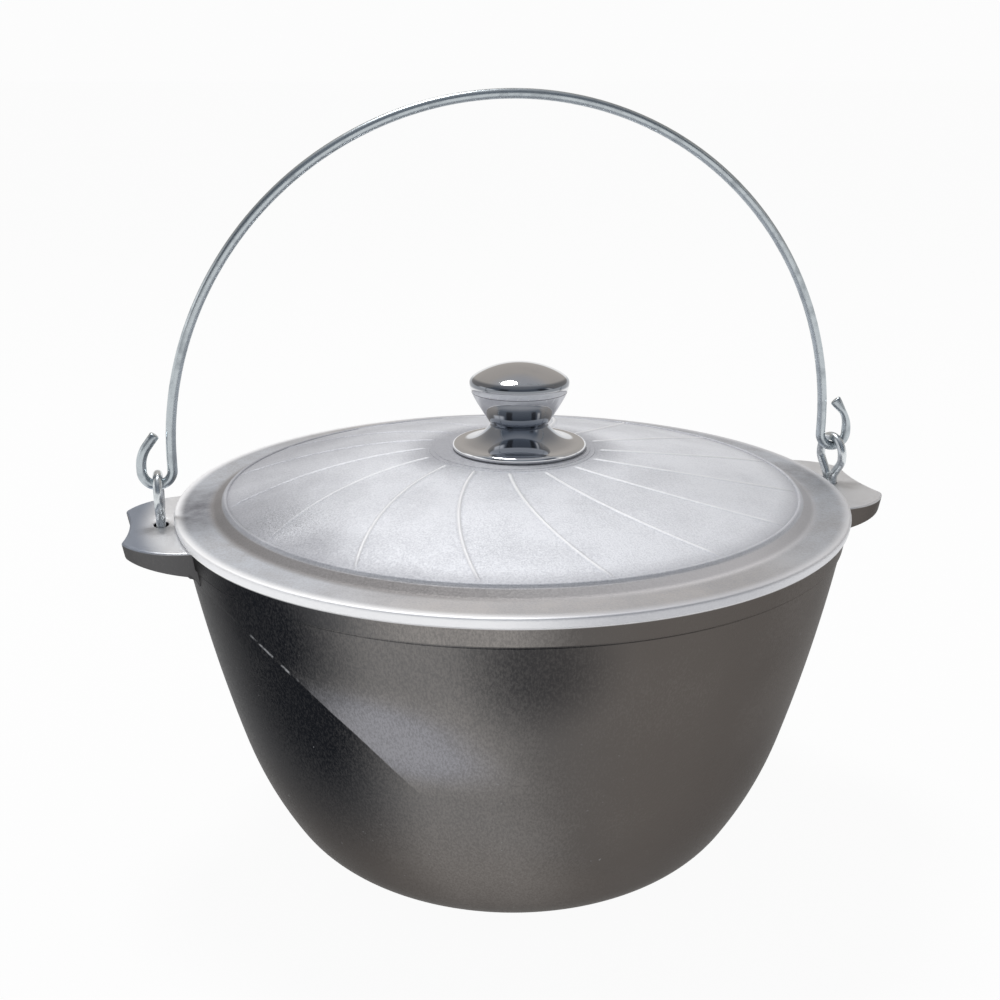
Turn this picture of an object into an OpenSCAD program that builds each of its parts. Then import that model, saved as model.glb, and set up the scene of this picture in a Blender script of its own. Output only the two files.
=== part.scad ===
// Cast aluminium camp cauldron with a ribbed lid, a chromed knob and a wire bail.
// Millimetres, +Z up. The origin is on the axis, on the plane that the base stands on,
// and the two cast ears lie along X.

/* [Pot] */
// Height from the base to the rim
pot_h = 161; // [150:1:190]
// Outside diameter of the wall at the rim
mouth_d = 295; // [270:1:330]
// Thickness of the cast wall and base
wall = 4.5; // [3:0.1:6]
// Lean of the wall from upright at the rim, in degrees
lean_rim = 9; // [6:0.5:12]
// Lean where the upper wall passes into the flank, in degrees
lean_upper = 16.5; // [14:0.5:20]
// Lean where the flank passes into the corner, in degrees
lean_flank = 31.5; // [26:0.5:38]
// Height of the nearly straight upper wall
upper_h = 96; // [80:1:108]
// Height of the round corner above the base
corner_h = 22; // [16:0.5:28]
// Height of the thicker band at the rim
band_h = 8; // [5:0.5:12]
// How far the band stands out from the wall
band_t = 0.7; // [0.4:0.1:1.5]

/* [Ears] */
// How far the horns of an ear stand out from the wall at the rim
ear_reach = 23.5; // [20:0.5:30]
// Width of an ear at its root
ear_w = 82; // [74:1:92]
// Radius of the two round sides of an ear
ear_side_r = 30; // [28:0.5:36]
// Distance between the two horns of an ear
horn_gap = 44; // [36:1:50]
// Depth of the hollow between the horns
ear_scoop = 2.5; // [1:0.1:4]
// Thickness of an ear at the wall
ear_root_t = 11.5; // [9:0.5:14]
// Thickness of an ear at its horns
ear_tip_t = 6.7; // [5:0.1:8]
// Draft of the cast sides, in degrees
ear_draft = 10; // [4:1:14]
// Chamfer along the top edge of an ear
ear_edge = 0.8; // [0.4:0.1:1.2]
// Radius of the casting fillet between the ear and the wall
ear_fillet = 4; // [2:0.5:6]

/* [Eyes] */
// Distance from the wall at the rim to the hole in the ear
hole_offset = 7.7; // [7:0.1:9]
// Least distance from the edge of the lid to the middle of the hole
eye_gap = 4.5; // [4.2:0.1:5.2]
// Diameter of the wire of an eye
eye_wire = 4; // [3.2:0.1:4.4]
// Width of the loop between the middles of its wire
eye_w = 16; // [15:0.2:18]
// Height of the loop's top above the ear
eye_h = 24.1; // [23:0.1:27]
// Gap between the two tails in the hole
tail_gap = 0.4; // [0.2:0.1:0.8]
// Clearance round the tails in the hole
hole_clear = 0.35; // [0.3:0.05:0.6]
// Straight length at the sides of the loop
eye_side = 1.2; // [0.5:0.1:1.5]
// Radius of the bends at the shoulders of the loop
shoulder_r = 5; // [4.5:0.5:6.5]
// Radius of the bends between the loop and the tails
neck_bend_r = 5; // [4:0.5:6]
// Radius of the bend of the tails under the ear
tail_bend_r = 3.2; // [3:0.1:4]
// Straight length at the end of a tail
tail_len = 3.5; // [2:0.5:5]
// Room between the tails and the underside of the ear
tail_room = 1.5; // [1.2:0.1:2]
// Turn of the right eye as it rests, in degrees
eye_turn = 12; // [0:1:12]

/* [Bail] */
// Diameter of the wire of the bail
bail_wire = 4.3; // [4:0.1:5.2]
// Width of a hook between the middles of its wire
hook_w = 12.8; // [12.4:0.2:14]
// Straight length of a leg between the arch and the hook
leg_len = 5; // [3:0.5:20]
// Straight length of the hook's outer limb
limb_len = 2; // [1:0.5:3]
// Radius of the bend that leans the tip of the hook inwards
tip_bend_r = 15; // [12:0.5:18]
// Straight length of the tip
tip_len = 6; // [5:0.1:7]
// Play between a hook and its eye
hook_play = 0.3; // [0.25:0.05:0.6]

/* [Lid] */
// Diameter of the lid
lid_d = 300; // [299:1:330]
// Thickness of the cast dome
lid_wall = 3.5; // [2.5:0.1:4.5]
// Height of the middle of the dome above the rim
dome_h = 26.2; // [22:0.2:32]
// Diameter of the ridge at the edge of the dome
ridge_d = 256; // [240:1:262]
// Height of that ridge above the rim
ridge_h = 8.1; // [7:0.1:9]
// Radius of the fine bead on the ridge
ridge_bead_r = 0.9; // [0.6:0.1:1.2]
// Width of the step from the ridge down to the brim
step_w = 5; // [3:0.5:6]
// Thickness of the brim where it meets the step
brim_t = 4.7; // [4.4:0.1:5.2]
// Thickness of the rounded outer edge of the brim
edge_t = 4.2; // [3.6:0.1:4.4]
// Depth of the ring that centres the lid in the mouth
plug_depth = 4; // [3:0.5:5]
// Thickness of that ring
plug_t = 2.5; // [2:0.1:3]
// Clearance between that ring and the mouth
plug_clear = 0.8; // [0.5:0.1:1.2]
// Diameter of the round boss that the knob stands on
boss_d = 70; // [68:1:76]
// Height of the edge of the flat boss above the dome
boss_h = 0.4; // [0.3:0.1:1]
// Width of the low step round the boss
boss_step_w = 2; // [1:0.5:5]
// Height of the edge of that step above the dome
boss_step_h = 0.3; // [0.2:0.05:0.35]
// Diameter of the flat pad under the middle of the dome
pad_d = 18; // [16:0.5:22]
// How far the pad stands down from the dome
pad_drop = 0.8; // [0.5:0.1:1.5]
// How far the hole for the knob's screw lies off the middle of the lid
knob_shift = 3.2; // [0:0.1:3.5]

/* [Ribs] */
// Number of swirl ribs on the dome
rib_count = 16; // [8:1:24]
// Width of a rib
rib_w = 1.8; // [1.2:0.1:2.6]
// Height of a rib
rib_h = 0.7; // [0.4:0.1:1.2]
// Turn of a rib from the boss to the ridge, in degrees
rib_sweep = 19.5; // [10:0.5:30]
// Radius of a rib's arc seen from above
rib_arc_r = 145; // [120:1:220]
// Gap between the boss and the start of a rib
rib_gap = 0.5; // [0.5:0.1:3]
// Direction in which the first rib meets the ridge, in degrees
rib_start = 5; // [0:0.5:22]

/* [Knob] */
// Diameter of the knob's cap
cap_d = 44.4; // [40:0.1:50]
// Height of the knob above the lid's boss
knob_h = 38.8; // [36:0.2:44]
// Height of the domed top of the cap
cap_dome_h = 7.1; // [5:0.1:9]
// Height of the side of the cap
cap_side_h = 5.4; // [4.5:0.1:8]
// How far the side of the cap is drawn in at its lower edge
cap_draw_in = 1.7; // [1:0.1:2.2]
// Diameter of the foot of the knob
foot_d = 60; // [56:0.5:64]
// Height of the rolled lip of the foot
lip_h = 3; // [2:0.1:3.6]
// Diameter of the knob's neck
neck_d = 26; // [24:0.2:29]
// Height of the neck above the boss
neck_h = 11.1; // [9:0.1:13]
// Thickness of the pressed sheet of the knob
sheet = 1.1; // [0.8:0.1:1.4]
// Clearance between the knob's pieces
knob_clear = 0.15; // [0.1:0.05:0.25]
// Diameter of the core that clamps the knob
core_d = 12; // [10:0.5:14]
// Diameter of the head of the core
core_head_d = 18; // [16:0.5:20]
// Height of the head of the core
core_head_h = 7.5; // [6:0.5:9]

/* [Screw] */
// Diameter of the screw's thread
screw_d = 5; // [4:0.5:6]
// Clearance round the screw in the lid and the washers
screw_clear = 0.25; // [0.15:0.05:0.4]
// Clearance between the screw and the core's bore
thread_clear = 0.1; // [0.05:0.05:0.15]
// How far the screw reaches into the core's head
screw_bite = 4; // [2:0.5:5]
// Diameter of the screw's head
head_d = 9.5; // [9:0.5:11]
// Height of the screw's head
head_h = 3.2; // [2.5:0.1:4]
// Width of the slot in the screw's head
slot_w = 1.2; // [0.8:0.1:1.6]
// Depth of that slot
slot_depth = 1.4; // [1:0.1:1.8]
// Diameter of the flat washer
washer_d = 12; // [11:0.5:15]
// Thickness of the flat washer
washer_t = 1; // [0.8:0.1:1.6]
// Diameter of the spring washer
spring_d = 9.2; // [8.6:0.1:10]
// Thickness of the spring washer
spring_t = 1.3; // [1:0.1:1.6]
// Width of the split in the spring washer
spring_split = 1; // [0.6:0.1:1.4]

/* [Hidden] */
$fn = 96;
// Facets of the long arcs in a profile
arc_fn = 720;
// Steps of an arc in the pot's outline
upper_steps = 6;
flank_steps = 8;
corner_steps = 24;
// Overlap that lets a cut pass clean through a face
eps = 1;

// Outer wall: three arcs that run into one another, from the rim down to the flat base
mouth_r = mouth_d / 2;
flank_h = pot_h - upper_h - corner_h;
upper_r = upper_h / (sin(lean_upper) - sin(lean_rim));
flank_r = flank_h / (sin(lean_flank) - sin(lean_upper));
corner_r = corner_h / (1 - sin(lean_flank));
// Outward normal of the wall where it leans by a degrees
function wall_normal(a) = [cos(a), -sin(a)];
upper_c = [mouth_r, pot_h] - upper_r * wall_normal(lean_rim);
flank_c = upper_c + (upper_r - flank_r) * wall_normal(lean_upper);
corner_c = flank_c + (flank_r - corner_r) * wall_normal(lean_flank);
// Radius of the upper wall at height z, with the surface moved out by off
function wall_r(z, off) = upper_c[0] + sqrt(pow(upper_r + off, 2) - pow(upper_c[1] - z, 2));
// Lean of the upper wall at height z, with the surface moved out by off
function wall_lean(z, off) = asin((upper_c[1] - z) / (upper_r + off));
// Points of an arc of the wall between two leans, without its first point
function wall_arc(c, r, a0, a1, steps) =
    [for (k = [1 : steps]) c + r * wall_normal(a0 + (a1 - a0) * k / steps)];
band_z = pot_h - band_h;

// Middle of the hole in an ear: out from the wall, and clear of the lid
hole_x = max(mouth_r + hole_offset, lid_d / 2 + eye_gap);

// Ear seen from above: two round sides, and a hollow end between two horns
ear_x = hole_x - hole_offset + ear_reach;
horn_y = horn_gap / 2;
ear_side_y = ear_w / 2 - ear_side_r;
ear_side_x = ear_x - sqrt(pow(ear_side_r, 2) - pow(horn_y - ear_side_y, 2));
scoop_r = (pow(horn_y, 2) + pow(ear_scoop, 2)) / (2 * ear_scoop);
scoop_x = ear_x - ear_scoop + scoop_r;
// Underside of the ear: it thins from the wall to the horns
horn_r = norm([ear_x, horn_y]);
ear_taper = (ear_root_t - ear_tip_t) / (horn_r - mouth_r);
function ear_under(r) = pot_h - ear_root_t + ear_taper * (r - mouth_r);
// Depth of the blank that the underside is cut from
ear_blank_h = ear_root_t + ear_fillet + eps;

// Slanted bends of the wires turn by the angle of a 3-4-5 triangle
slant = atan2(3, 4);
// Eye: tails side by side in the hole, a neck, slanted flanks, short sides and a round top
tail_y = (eye_wire + tail_gap) / 2;
hole_d = 2 * (tail_y + eye_wire / 2 + hole_clear);
eye_r = eye_w / 2;
eye_top = eye_h - eye_wire / 2;
// Flanks that bring the sides of the loop in to the tails
bend_in = (shoulder_r + neck_bend_r) * (1 - cos(slant));
flank_len = (eye_r - tail_y - bend_in) / sin(slant);
// Height of the loop below its round top, down to the start of the straight tails
loop_h = eye_side + (shoulder_r + neck_bend_r) * sin(slant) + flank_len * cos(slant);
neck_z = eye_top - eye_r - loop_h;
// Length of a tail down to its bend, which leaves the tail's room under the ear
tail_drop = neck_z + pot_h - ear_under(hole_x) + tail_room + eye_wire / 2 - tail_bend_r;

// Bail: the hooks hang in the tops of the eyes, and the arch spans the two legs
pivot_z = pot_h + eye_top - eye_wire / 2 - hook_play - bail_wire / 2;
hook_r = hook_w / 2;
leg_x = hole_x - hook_r;
arch_z = pivot_z + hook_r + leg_len;

// Lid
lid_r = lid_d / 2;
ridge_r = ridge_d / 2;
// Radius of the dome from its rise between the ridge and the middle
dome_rise = dome_h - ridge_h;
dome_r = (pow(ridge_r, 2) + pow(dome_rise, 2)) / (2 * dome_rise);
dome_c = [0, dome_h - dome_r];
dome_a = asin(ridge_r / dome_r);
// Height of the dome at distance r from the lid's axis
function dome_z(r) = dome_c[1] + sqrt(pow(dome_r, 2) - pow(r, 2));
edge_c = lid_r - edge_t / 2;
plug_r = wall_r(pot_h - plug_depth, -wall) - plug_clear;
brim_under = brim_t - lid_wall;
boss_r = boss_d / 2;
boss_top = dome_z(boss_r) + boss_h;
boss_step_r = boss_r + boss_step_w;
boss_step_z = dome_z(boss_step_r) + boss_step_h;
// Depth to which the boss and the ribs are rooted in the dome
cast_root = 0.5;
boss_root_z = dome_z(boss_step_r) - cast_root;
pad_z = dome_h - lid_wall - pad_drop;
screw_hole_r = screw_d / 2 + screw_clear;
// Middle of a rib's arc, from its two ends at the boss and the ridge
rib_from_r = boss_step_r + rib_gap;
rib_a = [rib_from_r, 0];
rib_b = ridge_r * [cos(rib_sweep), sin(rib_sweep)];
rib_chord = rib_b - rib_a;
rib_side = [-rib_chord[1], rib_chord[0]] / norm(rib_chord);
rib_c = (rib_a + rib_b) / 2 + rib_side * sqrt(pow(rib_arc_r, 2) - pow(norm(rib_chord) / 2, 2));

// Knob, measured up from the boss
knob_z = pot_h + boss_top;
cap_r = cap_d / 2;
cap_edge_z = knob_h - cap_dome_h;
cap_low_z = cap_edge_z - cap_side_h;
cap_dome_r = (pow(cap_r, 2) + pow(cap_dome_h, 2)) / (2 * cap_dome_h);
cap_side_r = (pow(cap_side_h, 2) + pow(cap_draw_in, 2)) / (2 * cap_draw_in);
// Inside radius of the cap's side at height z
function cap_inner(z) =
    cap_r - cap_side_r + sqrt(pow(cap_side_r - sheet, 2) - pow(cap_edge_z - z, 2));
// Bowl: flush with the cap's lower edge outside, and set in to stand inside the cap
cap_low_r = cap_r - cap_draw_in;
bowl_r = cap_inner(cap_low_z) - knob_clear;
bowl_flange_z = cap_low_z + cap_side_h / 2;
bowl_flange_r = cap_inner(bowl_flange_z) - knob_clear;
neck_r = neck_d / 2;
foot_r = foot_d / 2;
lip_r = lip_h / 2;
// Hollow flare of the foot, level at the lip and reaching the neck
flare_x = foot_r - lip_h;
flare_w = flare_x - neck_r;
flare_h = neck_h - lip_h;
flare_r = (pow(flare_w, 2) + pow(flare_h, 2)) / (2 * flare_h);
core_r = core_d / 2;
core_seat_z = neck_h + sheet;
core_top_z = core_seat_z + core_head_h;
screw_tip_z = core_seat_z + screw_bite;
// Depth of the core's bore past the tip of the screw
bore_spare = 1.5;
// Screw stack under the pad, measured up from the rim
washer_z = pad_z - washer_t;
spring_z = washer_z - spring_t;
head_z = spring_z - head_h;

cast = "#8f9094";
lid_cast = "#b9bbc0";
chrome = "#c9ccd1";
zinc = "#9aa3ac";

// Part of a ring between two angles, cut to the wedge between them
module ring_sector(r_out, r_in, a0, a1) {
    reach = r_out / cos((a1 - a0) / 2) + eps;
    intersection() {
        difference() {
            circle(r_out, $fn = arc_fn);
            circle(r_in, $fn = arc_fn);
        }
        polygon([[0, 0], reach * [cos(a0), sin(a0)], reach * [cos(a1), sin(a1)]]);
    }
}

// Half of the section of the pot, right of the axis: the outer wall down from the rim,
// the base, and the inner wall back up at an even thickness
module pot_section() {
    polygon(concat(
        [
            [wall_r(pot_h, band_t), pot_h],
            [wall_r(band_z, band_t), band_z],
            [wall_r(band_z, 0), band_z]
        ],
        wall_arc(upper_c, upper_r, wall_lean(band_z, 0), lean_upper, upper_steps),
        wall_arc(flank_c, flank_r, lean_upper, lean_flank, flank_steps),
        wall_arc(corner_c, corner_r, lean_flank, 90, corner_steps),
        [[0, 0], [0, wall], [corner_c[0], wall]],
        wall_arc(corner_c, corner_r - wall, 90, lean_flank, corner_steps),
        wall_arc(flank_c, flank_r - wall, lean_flank, lean_upper, flank_steps),
        wall_arc(upper_c, upper_r - wall, lean_upper, wall_lean(pot_h, -wall), upper_steps)
    ));
}

// Section that an ear keeps: level on top, tapered below, with a fillet to the wall
module ear_section() {
    fillet_r = wall_r(pot_h - ear_root_t, 0);
    fillet_z = ear_under(fillet_r);
    difference() {
        polygon([
            [wall_r(pot_h, -wall / 2), pot_h],
            [horn_r + eps, pot_h],
            [horn_r + eps, ear_under(horn_r + eps)],
            [fillet_r + ear_fillet, ear_under(fillet_r + ear_fillet)],
            [fillet_r + ear_fillet, fillet_z - ear_fillet],
            [wall_r(fillet_z - ear_fillet, -wall / 2), fillet_z - ear_fillet]
        ]);
        translate([fillet_r + ear_fillet, fillet_z - ear_fillet]) circle(ear_fillet);
    }
}

// Side of an ear with its draft and its chamfered top edge; grow is 1 outwards and -1 for a cut
module drafted_round(r, grow) {
    foot = r - grow * ear_blank_h * tan(ear_draft);
    rotate_extrude()
        polygon([
            [0, -ear_blank_h],
            [foot, -ear_blank_h],
            [r, -ear_edge],
            [r - grow * ear_edge, 0],
            [0, 0]
        ]);
}

// One cast ear on the +X side
module ear() {
    difference() {
        intersection() {
            for (s = [-1, 1])
                translate([ear_side_x, s * ear_side_y, pot_h]) drafted_round(ear_side_r, 1);
            rotate_extrude() ear_section();
        }
        translate([scoop_x, 0, pot_h]) drafted_round(scoop_r, -1);
        translate([hole_x, 0, pot_h - ear_blank_h]) cylinder(d = hole_d, h = ear_blank_h + eps);
    }
}

// Wire that starts at the origin along +Z. A run of one value is straight, and a run of
// a radius and an angle bends towards +X, or towards -X where the angle is negative.
module wire(runs, d, k = 0) {
    if (k < len(runs)) {
        run = runs[k];
        if (len(run) == 1) {
            cylinder(d = d, h = run[0]);
            translate([0, 0, run[0]]) wire(runs, d, k + 1);
        } else {
            side = run[1] < 0 ? 180 : 0;
            angle = abs(run[1]);
            rotate([0, 0, side])
                translate([run[0], 0, 0]) {
                    rotate([90, 0, 0])
                        rotate([0, 0, 180 - angle])
                            rotate_extrude(angle = angle)
                                translate([run[0], 0]) circle(d = d);
                    rotate([0, angle, 0])
                        translate([-run[0], 0, 0])
                            rotate([0, 0, -side]) wire(runs, d, k + 1);
                }
        }
    }
}

// Round top of half a turn, with the same bent wire running down from both of its ends.
// Bends with a positive angle go on round the way of the top.
module wire_loop(top_r, runs, d) {
    rotate([90, 0, 0])
        rotate_extrude(angle = 180)
            translate([top_r, 0]) circle(d = d);
    for (s = [0, 1])
        mirror([s, 0, 0])
            translate([top_r, 0, 0]) rotate([0, 180, 0]) wire(runs, d);
}

module kettle_pot() {
    color(cast) {
        rotate_extrude() pot_section();
        for (a = [0, 180])
            rotate([0, 0, a]) ear();
    }
}

// Section of the lid without its ribs and its screw hole, measured up from the rim
module lid_section() {
    inner_ridge = dome_c + (dome_r - lid_wall) * [sin(dome_a), cos(dome_a)];
    difference() {
        union() {
            translate(dome_c) ring_sector(dome_r, dome_r - lid_wall, 90 - dome_a, 90);
            polygon([
                inner_ridge,
                [ridge_r + step_w - lid_wall / 3, brim_under],
                [plug_r - plug_t, brim_under],
                [plug_r - plug_t, -plug_depth],
                [plug_r, -plug_depth],
                [plug_r, 0],
                [edge_c, 0],
                [edge_c, edge_t],
                [ridge_r + step_w, brim_t],
                [ridge_r, ridge_h]
            ]);
            intersection() {
                translate([edge_c, edge_t / 2]) circle(d = edge_t);
                translate([edge_c, 0]) square([edge_t, edge_t]);
            }
            translate([ridge_r - ridge_bead_r / 2, ridge_h]) circle(ridge_bead_r);
            translate([0, boss_root_z]) square([boss_r, boss_top - boss_root_z]);
            translate([0, boss_root_z]) square([boss_step_r, boss_step_z - boss_root_z]);
        }
        translate([0, boss_top]) square([boss_r, dome_h - boss_top + eps]);
    }
}

// Plan of one swirl rib, curved from the boss out to the ridge
module rib_plan() {
    intersection() {
        translate(rib_c)
            difference() {
                circle(rib_arc_r + rib_w / 2, $fn = arc_fn);
                circle(rib_arc_r - rib_w / 2, $fn = arc_fn);
            }
        difference() {
            circle(ridge_r);
            circle(rib_from_r);
        }
        polygon([[0, 0], 2 * ridge_r * [cos(rib_sweep), -sin(rib_sweep)], [2 * ridge_r, 2 * ridge_r]]);
    }
}

module lid() {
    color(lid_cast)
        translate([0, 0, pot_h])
            difference() {
                union() {
                    rotate_extrude() lid_section();
                    intersection() {
                        rotate_extrude()
                            translate(dome_c)
                                ring_sector(dome_r + rib_h, dome_r - cast_root, 90 - dome_a, 90);
                        for (k = [0 : rib_count - 1])
                            rotate([0, 0, rib_start - rib_sweep + k * 360 / rib_count])
                                linear_extrude(dome_h + rib_h) rib_plan();
                    }
                    translate([knob_shift, 0, pad_z]) cylinder(d = pad_d, h = pad_drop + lid_wall / 2);
                }
                translate([knob_shift, 0, pad_z - eps])
                    cylinder(r = screw_hole_r, h = boss_top - pad_z + 2 * eps);
            }
}

// Flared foot of the knob, a pressed sheet with a rolled lip and a flat neck
module knob_skirt() {
    color(chrome)
        translate([knob_shift, 0, knob_z])
            rotate_extrude() {
                intersection() {
                    translate([flare_x, lip_h + flare_r])
                        difference() {
                            circle(flare_r + sheet, $fn = arc_fn);
                            circle(flare_r, $fn = arc_fn);
                        }
                    translate([neck_r - sheet, lip_h - sheet]) square([flare_w + sheet, flare_h + sheet]);
                }
                translate([flare_x, 0]) square([lip_r, lip_h]);
                translate([flare_x + lip_r, lip_r]) circle(lip_r);
                translate([core_r + knob_clear, neck_h - sheet])
                    square([neck_r - core_r - knob_clear, sheet]);
            }
}

// Bowl between the neck and the cap, with a shoulder under the cap's edge and a flange inside it
module knob_bowl() {
    cone_top = cap_low_z - knob_clear;
    color(chrome)
        translate([knob_shift, 0, knob_z])
            rotate_extrude()
                polygon([
                    [core_r + knob_clear, neck_h],
                    [neck_r, neck_h],
                    [cap_low_r, cone_top],
                    [bowl_r, cone_top],
                    [bowl_r, bowl_flange_z],
                    [bowl_flange_r, bowl_flange_z],
                    [bowl_flange_r, bowl_flange_z + sheet],
                    [bowl_r - sheet, bowl_flange_z + sheet],
                    [bowl_r - sheet, cone_top],
                    [neck_r - sheet, core_seat_z],
                    [core_r + knob_clear, core_seat_z]
                ]);
}

// Domed cap, a pressed sheet drawn in under the flange of the bowl
module knob_cap() {
    side_a = asin(cap_side_h / cap_side_r);
    color(chrome)
        translate([knob_shift, 0, knob_z])
            rotate_extrude() {
                intersection() {
                    translate([0, knob_h - cap_dome_r])
                        difference() {
                            circle(cap_dome_r, $fn = arc_fn);
                            circle(cap_dome_r - sheet, $fn = arc_fn);
                        }
                    translate([0, cap_edge_z - sheet]) square([cap_r, cap_dome_h + 2 * sheet]);
                }
                translate([cap_r - cap_side_r, cap_edge_z])
                    ring_sector(cap_side_r, cap_side_r - sheet, -side_a, 0);
            }
}

// Threaded core: its head clamps the bowl and the foot down on the lid
module knob_core() {
    color("#8a8d90")
        translate([knob_shift, 0, knob_z])
            difference() {
                union() {
                    cylinder(r = core_r, h = core_top_z);
                    translate([0, 0, core_seat_z]) cylinder(d = core_head_d, h = core_head_h);
                }
                translate([0, 0, -eps])
                    cylinder(d = screw_d + 2 * thread_clear, h = screw_tip_z + bore_spare + eps);
            }
}

module knob_screw() {
    color(zinc)
        translate([knob_shift, 0, pot_h])
            difference() {
                union() {
                    translate([0, 0, head_z]) cylinder(d = head_d, h = head_h);
                    translate([0, 0, head_z]) cylinder(d = screw_d, h = boss_top + screw_tip_z - head_z);
                }
                translate([-head_d, -slot_w / 2, head_z - eps]) cube([2 * head_d, slot_w, slot_depth + eps]);
            }
}

module flat_washer() {
    color(zinc)
        translate([knob_shift, 0, pot_h + washer_z])
            difference() {
                cylinder(d = washer_d, h = washer_t);
                translate([0, 0, -eps]) cylinder(r = screw_hole_r, h = washer_t + 2 * eps);
            }
}

module spring_washer() {
    color(zinc)
        translate([knob_shift, 0, pot_h + spring_z])
            difference() {
                cylinder(d = spring_d, h = spring_t);
                translate([0, 0, -eps]) cylinder(r = screw_hole_r, h = spring_t + 2 * eps);
                translate([0, -spring_split / 2, -eps]) cube([spring_d, spring_split, spring_t + 2 * eps]);
            }
}

// Bail: an arch, and on each side a leg and a hook whose tip leans back to the leg
module bail() {
    color(zinc)
        translate([0, 0, arch_z])
            wire_loop(leg_x, [[leg_len], [hook_r, -180], [limb_len], [tip_bend_r, -slant], [tip_len]],
                      bail_wire);
}

// Eye across the hook: a round top, and on each side a shoulder, a flank, the neck
// and a tail that is spread under the ear
module eye(turn) {
    color(zinc)
        translate([hole_x, 0, pot_h + eye_top - eye_r])
            rotate([0, 0, 90 + turn])
                wire_loop(eye_r, [[eye_side], [shoulder_r, slant], [flank_len], [neck_bend_r, -slant],
                                  [tail_drop], [tail_bend_r, -90], [tail_len]], eye_wire);
}

module eye_left() {
    rotate([0, 0, 180]) eye(0);
}

module eye_right() {
    eye(eye_turn);
}

kettle_pot();
lid();
knob_skirt();
knob_bowl();
knob_cap();
knob_core();
knob_screw();
flat_washer();
spring_washer();
bail();
eye_left();
eye_right();
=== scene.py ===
"""Cast camp cauldron: a satin pot with two ears, a swirl-ribbed lid, a chromed knob and a wire bail."""

import math

import bmesh
import bpy
import numpy as np
from bpy.props import FloatProperty, FloatVectorProperty, IntProperty, PointerProperty
from mathutils import Matrix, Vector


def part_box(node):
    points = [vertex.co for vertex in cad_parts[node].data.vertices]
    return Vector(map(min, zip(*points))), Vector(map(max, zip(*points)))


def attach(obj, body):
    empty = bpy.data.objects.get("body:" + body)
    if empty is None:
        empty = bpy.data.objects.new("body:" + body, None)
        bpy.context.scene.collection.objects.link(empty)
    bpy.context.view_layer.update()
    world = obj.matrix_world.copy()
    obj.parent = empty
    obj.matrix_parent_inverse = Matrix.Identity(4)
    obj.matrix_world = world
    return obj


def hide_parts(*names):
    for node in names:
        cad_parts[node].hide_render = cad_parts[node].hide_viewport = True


bl_info = {
    "name": "Camp Cauldron",
    "version": (1, 0, 0),
    "blender": (4, 5, 0),
    "location": "View3D > Sidebar > Cauldron",
    "description": "Builds the pot, the ribbed lid, the knob and the wire bail on the packed frame",
    "category": "Add Mesh",
}

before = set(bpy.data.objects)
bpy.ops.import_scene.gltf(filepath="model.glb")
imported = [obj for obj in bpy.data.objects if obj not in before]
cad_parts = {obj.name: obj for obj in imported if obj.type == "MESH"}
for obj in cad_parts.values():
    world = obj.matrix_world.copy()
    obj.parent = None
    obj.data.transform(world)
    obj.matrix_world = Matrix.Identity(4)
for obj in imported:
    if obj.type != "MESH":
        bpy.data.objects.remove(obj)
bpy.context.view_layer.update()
POT_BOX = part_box("kettle_pot")

# Slanted bends of the wires turn by the angle of a 3-4-5 triangle
SLANT = math.degrees(math.atan2(3, 4))
# Photograph's side in pixels
PHOTO_SIDE = 1000
# Where the lamp hangs, and the point that it is aimed at
LAMP_PLACE = np.array((-0.20, 0.46, 1.82))
LAMP_TARGET = np.array((0.0, 0.0, 0.12))


def length(label, default):
    """A size in metres that a user can change."""
    return FloatProperty(name=label, default=default, min=0.0, unit="LENGTH", precision=4)


def amount(label, default):
    """A plain number, such as an angle in degrees, that a user can change."""
    return FloatProperty(name=label, default=default)


def colour(label, default):
    """A linear colour that a user can change."""
    return FloatVectorProperty(name=label, default=default, size=3, min=0.0, max=1.0, subtype="COLOR")


class PotSizes(bpy.types.PropertyGroup):
    """Sizes of the cast pot and its ears."""
    height: length("Base to rim", POT_BOX[1].z)
    mouth_d: length("Outside diameter of the wall at the rim", 0.295)
    wall: length("Thickness of the cast wall", 0.0045)
    lean_rim: amount("Lean of the wall at the rim, in degrees", 9.0)
    lean_upper: amount("Lean where the flank starts, in degrees", 16.5)
    lean_flank: amount("Lean where the corner starts, in degrees", 31.5)
    upper_h: length("Height of the nearly straight upper wall", 0.096)
    corner_h: length("Height of the round corner above the base", 0.022)
    band_h: length("Height of the thicker band at the rim", 0.008)
    band_t: length("How far the band stands out", 0.0007)
    groove: length("Depth of the fine groove under the band", 0.00025)
    ear_reach: length("How far the horns stand out from the rim", 0.0235)
    ear_w: length("Width of an ear at its root", 0.082)
    ear_side_r: length("Radius of the round sides of an ear", 0.030)
    horn_gap: length("Distance between the two horns", 0.044)
    ear_scoop: length("Depth of the hollow between the horns", 0.0025)
    ear_root_t: length("Thickness of an ear at the wall", 0.0115)
    ear_tip_t: length("Thickness of an ear at its horns", 0.0067)
    ear_draft: amount("Draft of the cast sides, in degrees", 10.0)
    ear_edge: length("Rounding of the top edge of an ear", 0.0008)
    ear_fillet: length("Radius of the fillet between ear and wall", 0.004)
    hole_offset: length("Distance from the rim to the ear's hole", 0.0077)
    hole_d: length("Length of the ear's hole", 0.0091)
    hole_w: length("Width of the ear's hole", 0.0064)


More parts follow.
